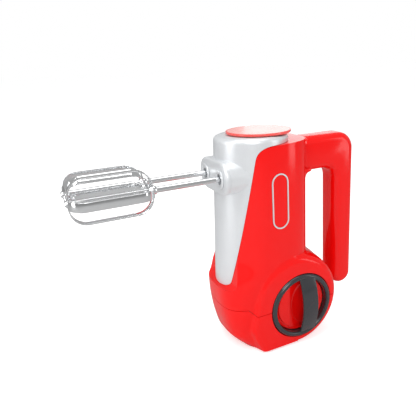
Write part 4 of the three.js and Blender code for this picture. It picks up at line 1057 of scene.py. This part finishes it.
class MIXER_OT_finishes(bpy.types.Operator):
    """Every finish, and its place on the frame's own parts"""

    bl_idname = "mixer.finishes"
    bl_label = "Finishes"

    def execute(self, context):
        c = context.scene.mixer_colours
        skin, held, lines, bands = surface_height(), handling(), metal_lines(), banded()

        def plastic(name, colour, low, high, ripple=0.00006, grain=0.1, grain_scale=4000.0, **sockets):
            """A moulded plastic whose gloss runs between a low and a high roughness."""
            finish = Finish(name, **sockets)
            touch = finish.group(held, colour=tuple(colour), low_roughness=low, high_roughness=high)
            finish.feed("Base Color", touch.outputs["Colour"]).feed("Roughness", touch.outputs["Roughness"])
            relief = finish.group(skin, grain=grain, grain_scale=grain_scale)
            return finish.relief(relief.outputs["Height"], ripple)

        plastic("gloss_red", c.red, 0.09, 0.15, specular_ior_level=0.42)
        plastic("gloss_grey", c.grey, 0.13, 0.22, coat_weight=0.5, coat_roughness=0.06)
        plastic("black_plastic", (0.03, 0.03, 0.032, 1), 0.42, 0.6, 0.00009, 0.6, 2600.0)
        plastic("rubber", (0.025, 0.025, 0.027, 1), 0.62, 0.8, 0.0001, 0.7, 3000.0)
        plastic("nylon", (0.86, 0.84, 0.78, 1), 0.34, 0.46, 0.00004, 0.4, 2600.0, subsurface_weight=0.15,
                subsurface_scale=0.002)
        plastic("carbon", (0.02, 0.02, 0.022, 1), 0.55, 0.72, 0.00006, 0.8, 5000.0)

        # pale face of the knob, red only on its rim: split by how far a point lies from the knob's axis
        pale = plastic("knob_face", c.knob, 0.22, 0.3, coat_weight=0.25, coat_roughness=0.1)
        at = node(pale.tree, "ShaderNodeTexCoord").outputs["Object"]
        centred = node(pale.tree, "ShaderNodeMapping", [("Vector", at)])
        centred.inputs["Location"].default_value = (-KNOB.x, 0, 0)
        flat = node(pale.tree, "ShaderNodeMapping", [("Vector", centred.outputs["Vector"])])
        flat.inputs["Scale"].default_value = (1, 1, 0)
        far = node(pale.tree, "ShaderNodeVectorMath", [(0, flat.outputs["Vector"])], operation="LENGTH")
        rim = node(pale.tree, "ShaderNodeMapRange", [("Value", far.outputs["Value"])])
        rim.inputs["From Min"].default_value = half_width("speed_knob") - 1.9 * MM
        rim.inputs["From Max"].default_value = half_width("speed_knob") - 1.2 * MM
        source = pale.shader.inputs["Base Color"].links[0].from_socket
        mix = node(pale.tree, "ShaderNodeMix", [("Factor", rim.outputs["Result"])], data_type="RGBA")
        pale.tree.links.new(source, mix.inputs[6])
        mix.inputs[7].default_value = (0.84, 0.10, 0.09, 1)
        pale.feed("Base Color", mix.outputs[2])

        silver = Finish("satin_silver", metallic=0.45, coat_weight=0.25, coat_roughness=0.22)
        touch = silver.group(held, colour=tuple(c.silver), low_roughness=0.3, high_roughness=0.38, tint=0.04)
        flake = noise(silver.tree, scale=5200.0, detail=1.0)
        glint = node(silver.tree, "ShaderNodeHueSaturation", [("Color", touch.outputs["Colour"])])
        silver.tree.links.new(spread(silver.tree, flake, 0.93, 1.07), glint.inputs["Value"])
        silver.feed("Base Color", glint.outputs["Color"]).feed("Roughness", touch.outputs["Roughness"])
        relief = silver.group(skin, ripple_scale=200.0, grain=0.25, grain_scale=5200.0)
        silver.relief(relief.outputs["Height"], 0.00004)

        for name, colour, low, high in (("chrome", (0.86, 0.87, 0.88, 1), 0.05, 0.11),
                                        ("steel", (0.58, 0.59, 0.61, 1), 0.24, 0.4),
                                        ("brass", (0.72, 0.55, 0.26, 1), 0.24, 0.38)):
            metal = Finish(name, metallic=1.0)
            touch = metal.group(held, colour=colour, tint=0.08)
            line = metal.group(lines, low_roughness=low, high_roughness=high)
            metal.feed("Base Color", touch.outputs["Colour"]).feed("Roughness", line.outputs["Roughness"])
            metal.relief(line.outputs["Height"], 0.00001)

        for name, colour, dark, scale in (("lamination", (0.32, 0.33, 0.35, 1), (0.12, 0.12, 0.13, 1), 320.0),
                                          ("copper", (0.72, 0.34, 0.15, 1), (0.28, 0.1, 0.04, 1), 420.0)):
            wound = Finish(name, metallic=0.9)
            stripe = wound.group(bands, colour=colour, dark=dark, scale=scale)
            touch = wound.group(held, low_roughness=0.26, high_roughness=0.42)
            wound.feed("Base Color", stripe.outputs["Colour"]).feed("Roughness", touch.outputs["Roughness"])
            wound.relief(stripe.outputs["Height"], 0.0002)

        board = Finish("board_green", coat_weight=0.4, coat_roughness=0.15)
        at = node(board.tree, "ShaderNodeTexCoord").outputs["Object"]
        tracks = node(board.tree, "ShaderNodeTexBrick", [("Vector", at)], offset=0.35)
        for name, value in (("Scale", 160.0), ("Mortar Size", 0.09), ("Color1", (0.02, 0.16, 0.05, 1)),
                            ("Color2", (0.03, 0.2, 0.07, 1)), ("Mortar", (0.1, 0.34, 0.14, 1))):
            tracks.inputs[name].default_value = value
        touch = board.group(held, low_roughness=0.3, high_roughness=0.42)
        board.feed("Base Color", tracks.outputs["Color"]).feed("Roughness", touch.outputs["Roughness"])
        board.relief(tracks.outputs["Fac"], 0.00004)

        for name, slot in SLOT_OF.items():
            part = frame["nodes"][name]
            part.data.materials.clear()
            part.data.materials.append(bpy.data.materials[slot])
        return {"FINISHED"}


# ---------------------------------------------------------------- spring, stage
class MIXER_OT_spring(bpy.types.Operator):
    """Coil spring under the speed knob's stem"""

    bl_idname = "mixer.spring"
    bl_label = "Knob spring"

    turns: FloatProperty(name="Turns", description="Coils of the spring", default=5.5)
    wire: length("Wire", "Diameter of the wire", 0.7)

    def execute(self, context):
        low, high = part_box("turbo_spring")
        radius = half_width("turbo_spring") - self.wire / 2
        bpy.ops.mesh.primitive_circle_add(vertices=8, radius=self.wire / 2)
        spring = added("coil_spring")
        place(spring, Matrix.Translation((radius, 0, 0)) @ Matrix.Rotation(math.pi / 2, 4, "X"))
        rise = high.z - low.z - self.wire
        steps = int(self.turns * 28)
        modify(spring, "SCREW", axis="Z", angle=2 * math.pi * self.turns, screw_offset=rise, iterations=1,
               steps=steps, render_steps=steps)
        modify(spring, "WELD", merge_threshold=1e-6)
        edit(spring, lambda: bpy.ops.mesh.select_all(action="DESELECT"),
             lambda: bpy.ops.mesh.select_non_manifold(), lambda: bpy.ops.mesh.edge_face_add(), clean)
        place(spring, Matrix.Translation((KNOB.x, 0, low.z + self.wire / 2)))
        finished(spring, "turbo_spring")
        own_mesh(spring)
        return {"FINISHED"}


MIDDLE = Vector((0, 0, 0.13))
SOFTBOXES = (                      # name, place, width, height and share of the key's power
    ("key", (-0.35, -1.0, 0.8), 0.45, 0.65, 1.5),
    ("window", (0.85, -0.75, 0.12), 0.22, 1.2, 0.6),
    ("fill", (-1.0, 0.05, 0.35), 0.4, 0.9, 0.9),
    ("top", (0.05, 0.0, 1.2), 0.7, 0.7, 1.1),
    ("rim", (-0.62, -0.22, 1.15), 0.3, 0.55, 1.1),
    ("rear", (0.7, 0.8, 0.6), 0.6, 0.6, 0.4),
)
WHITE = (1, 1, 1, 1)
PAPER = (0.93, 0.93, 0.93, 1)
PAPER_REFLECTED = (0.4, 0.4, 0.4, 1)   # the floor is darker in reflections, so gloss keeps its contrast


class MIXER_OT_stage(bpy.types.Operator):
    """Pale floor, soft studio lights and the camera"""

    bl_idname = "mixer.stage"
    bl_label = "Studio"

    def softbox(self, name, at, width, height, power):
        """An area light that looks at the middle of the object."""
        bpy.ops.object.light_add(type="AREA", location=at)
        lamp = bpy.context.active_object
        lamp.name = name
        lamp.data.shape = "RECTANGLE"
        lamp.data.size, lamp.data.size_y = width, height
        lamp.data.energy = power
        lamp.rotation_euler = (MIDDLE - Vector(at)).to_track_quat("-Z", "Y").to_euler()

    def execute(self, context):
        s = context.scene.mixer_stage
        bpy.ops.mesh.primitive_plane_add(size=60, location=(0, 0, 0))
        floor = added("studio_floor")
        pale = Finish("floor_paper", base_color=PAPER, roughness=0.9)
        dust = noise(pale.tree, scale=14.0, detail=4.0)
        pale.feed("Roughness", spread(pale.tree, dust, 0.85, 0.95))
        path = node(pale.tree, "ShaderNodeLightPath")
        paper = node(pale.tree, "ShaderNodeMix", [("Factor", path.outputs["Is Glossy Ray"])], data_type="RGBA")
        paper.inputs[6].default_value = PAPER
        paper.inputs[7].default_value = PAPER_REFLECTED
        pale.feed("Base Color", paper.outputs[2])
        glow = node(pale.tree, "ShaderNodeMath", [(0, path.outputs["Is Camera Ray"])], operation="MULTIPLY")
        glow.inputs[1].default_value = 1.02 - PAPER[0] * s.room_light   # the far floor meets the room unseen
        pale.shader.inputs["Emission Color"].default_value = WHITE
        pale.feed("Emission Strength", glow.outputs["Value"])
        floor.data.materials.append(pale.material)

        world = bpy.data.worlds.new("studio")
        world.use_nodes = True
        sky = world.node_tree.nodes["Background"]
        sky.inputs["Color"].default_value = WHITE
        path = node(world.node_tree, "ShaderNodeLightPath")
        level = node(world.node_tree, "ShaderNodeMapRange", [("Value", path.outputs["Is Glossy Ray"])])
        level.inputs["To Min"].default_value = s.room_light
        level.inputs["To Max"].default_value = s.room_reflection
        brightest = [(0, level.outputs["Result"]), (1, path.outputs["Is Camera Ray"])]
        seen = node(world.node_tree, "ShaderNodeMath", brightest, operation="MAXIMUM")
        world.node_tree.links.new(seen.outputs["Value"], sky.inputs["Strength"])
        context.scene.world = world
        for name, at, width, height, share in SOFTBOXES:
            self.softbox(f"{name}_softbox", at, width, height, s.key_power * share)

        a, e, roll = s.azimuth, s.elevation, s.roll
        back = Vector((math.sin(a) * math.cos(e), -math.cos(a) * math.cos(e), math.sin(e)))
        right = Vector((math.cos(a), math.sin(a), 0))
        up = back.cross(right)
        right, up = right * math.cos(roll) + up * math.sin(roll), up * math.cos(roll) - right * math.sin(roll)
        bpy.ops.object.camera_add()
        camera = context.active_object
        camera.name = "photo_camera"
        turn = Matrix((right, up, back)).transposed().to_4x4()
        camera.matrix_world = Matrix.Translation(s.camera) @ turn
        camera.data.sensor_width = 36
        camera.data.lens = s.lens
        camera.data.shift_x = s.shift
        camera.data.clip_start = 0.01
        context.scene.camera = camera
        context.scene.view_settings.view_transform = "Standard"
        return {"FINISHED"}


class MIXER_PT_panel(bpy.types.Panel):
    """Lists the pieces of the mixer"""

    bl_idname = "MIXER_PT_panel"
    bl_label = "Hand mixer"
    bl_space_type = "VIEW_3D"
    bl_region_type = "UI"
    bl_category = "Hand mixer"

    def draw(self, context):
        for step in STEPS:
            self.layout.operator(step.bl_idname)
        for group in ("mixer_casing", "mixer_colours", "mixer_stage"):
            values = getattr(context.scene, group)
            for name in values.__annotations__:
                self.layout.prop(values, name)


GROUPS = {"mixer_casing": MixerCasing, "mixer_colours": MixerColours, "mixer_stage": MixerStage}
STEPS = (MIXER_OT_finishes, MIXER_OT_casings, MIXER_OT_front_shell, MIXER_OT_handle, MIXER_OT_beaters,
         MIXER_OT_knob, MIXER_OT_badge, MIXER_OT_dial, MIXER_OT_spring, MIXER_OT_stage)
CLASSES = (*GROUPS.values(), *STEPS, MIXER_PT_panel)


def register():
    for kind in CLASSES:
        bpy.utils.register_class(kind)
    for name, kind in GROUPS.items():
        setattr(bpy.types.Scene, name, PointerProperty(type=kind))


def unregister():
    for name in GROUPS:
        delattr(bpy.types.Scene, name)
    for kind in reversed(CLASSES):
        bpy.utils.unregister_class(kind)


def main():
    register()
    deselect()
    for step in STEPS:
        getattr(bpy.ops.mixer, step.bl_idname.split(".")[1])()


if __name__ == "__main__":
    main()
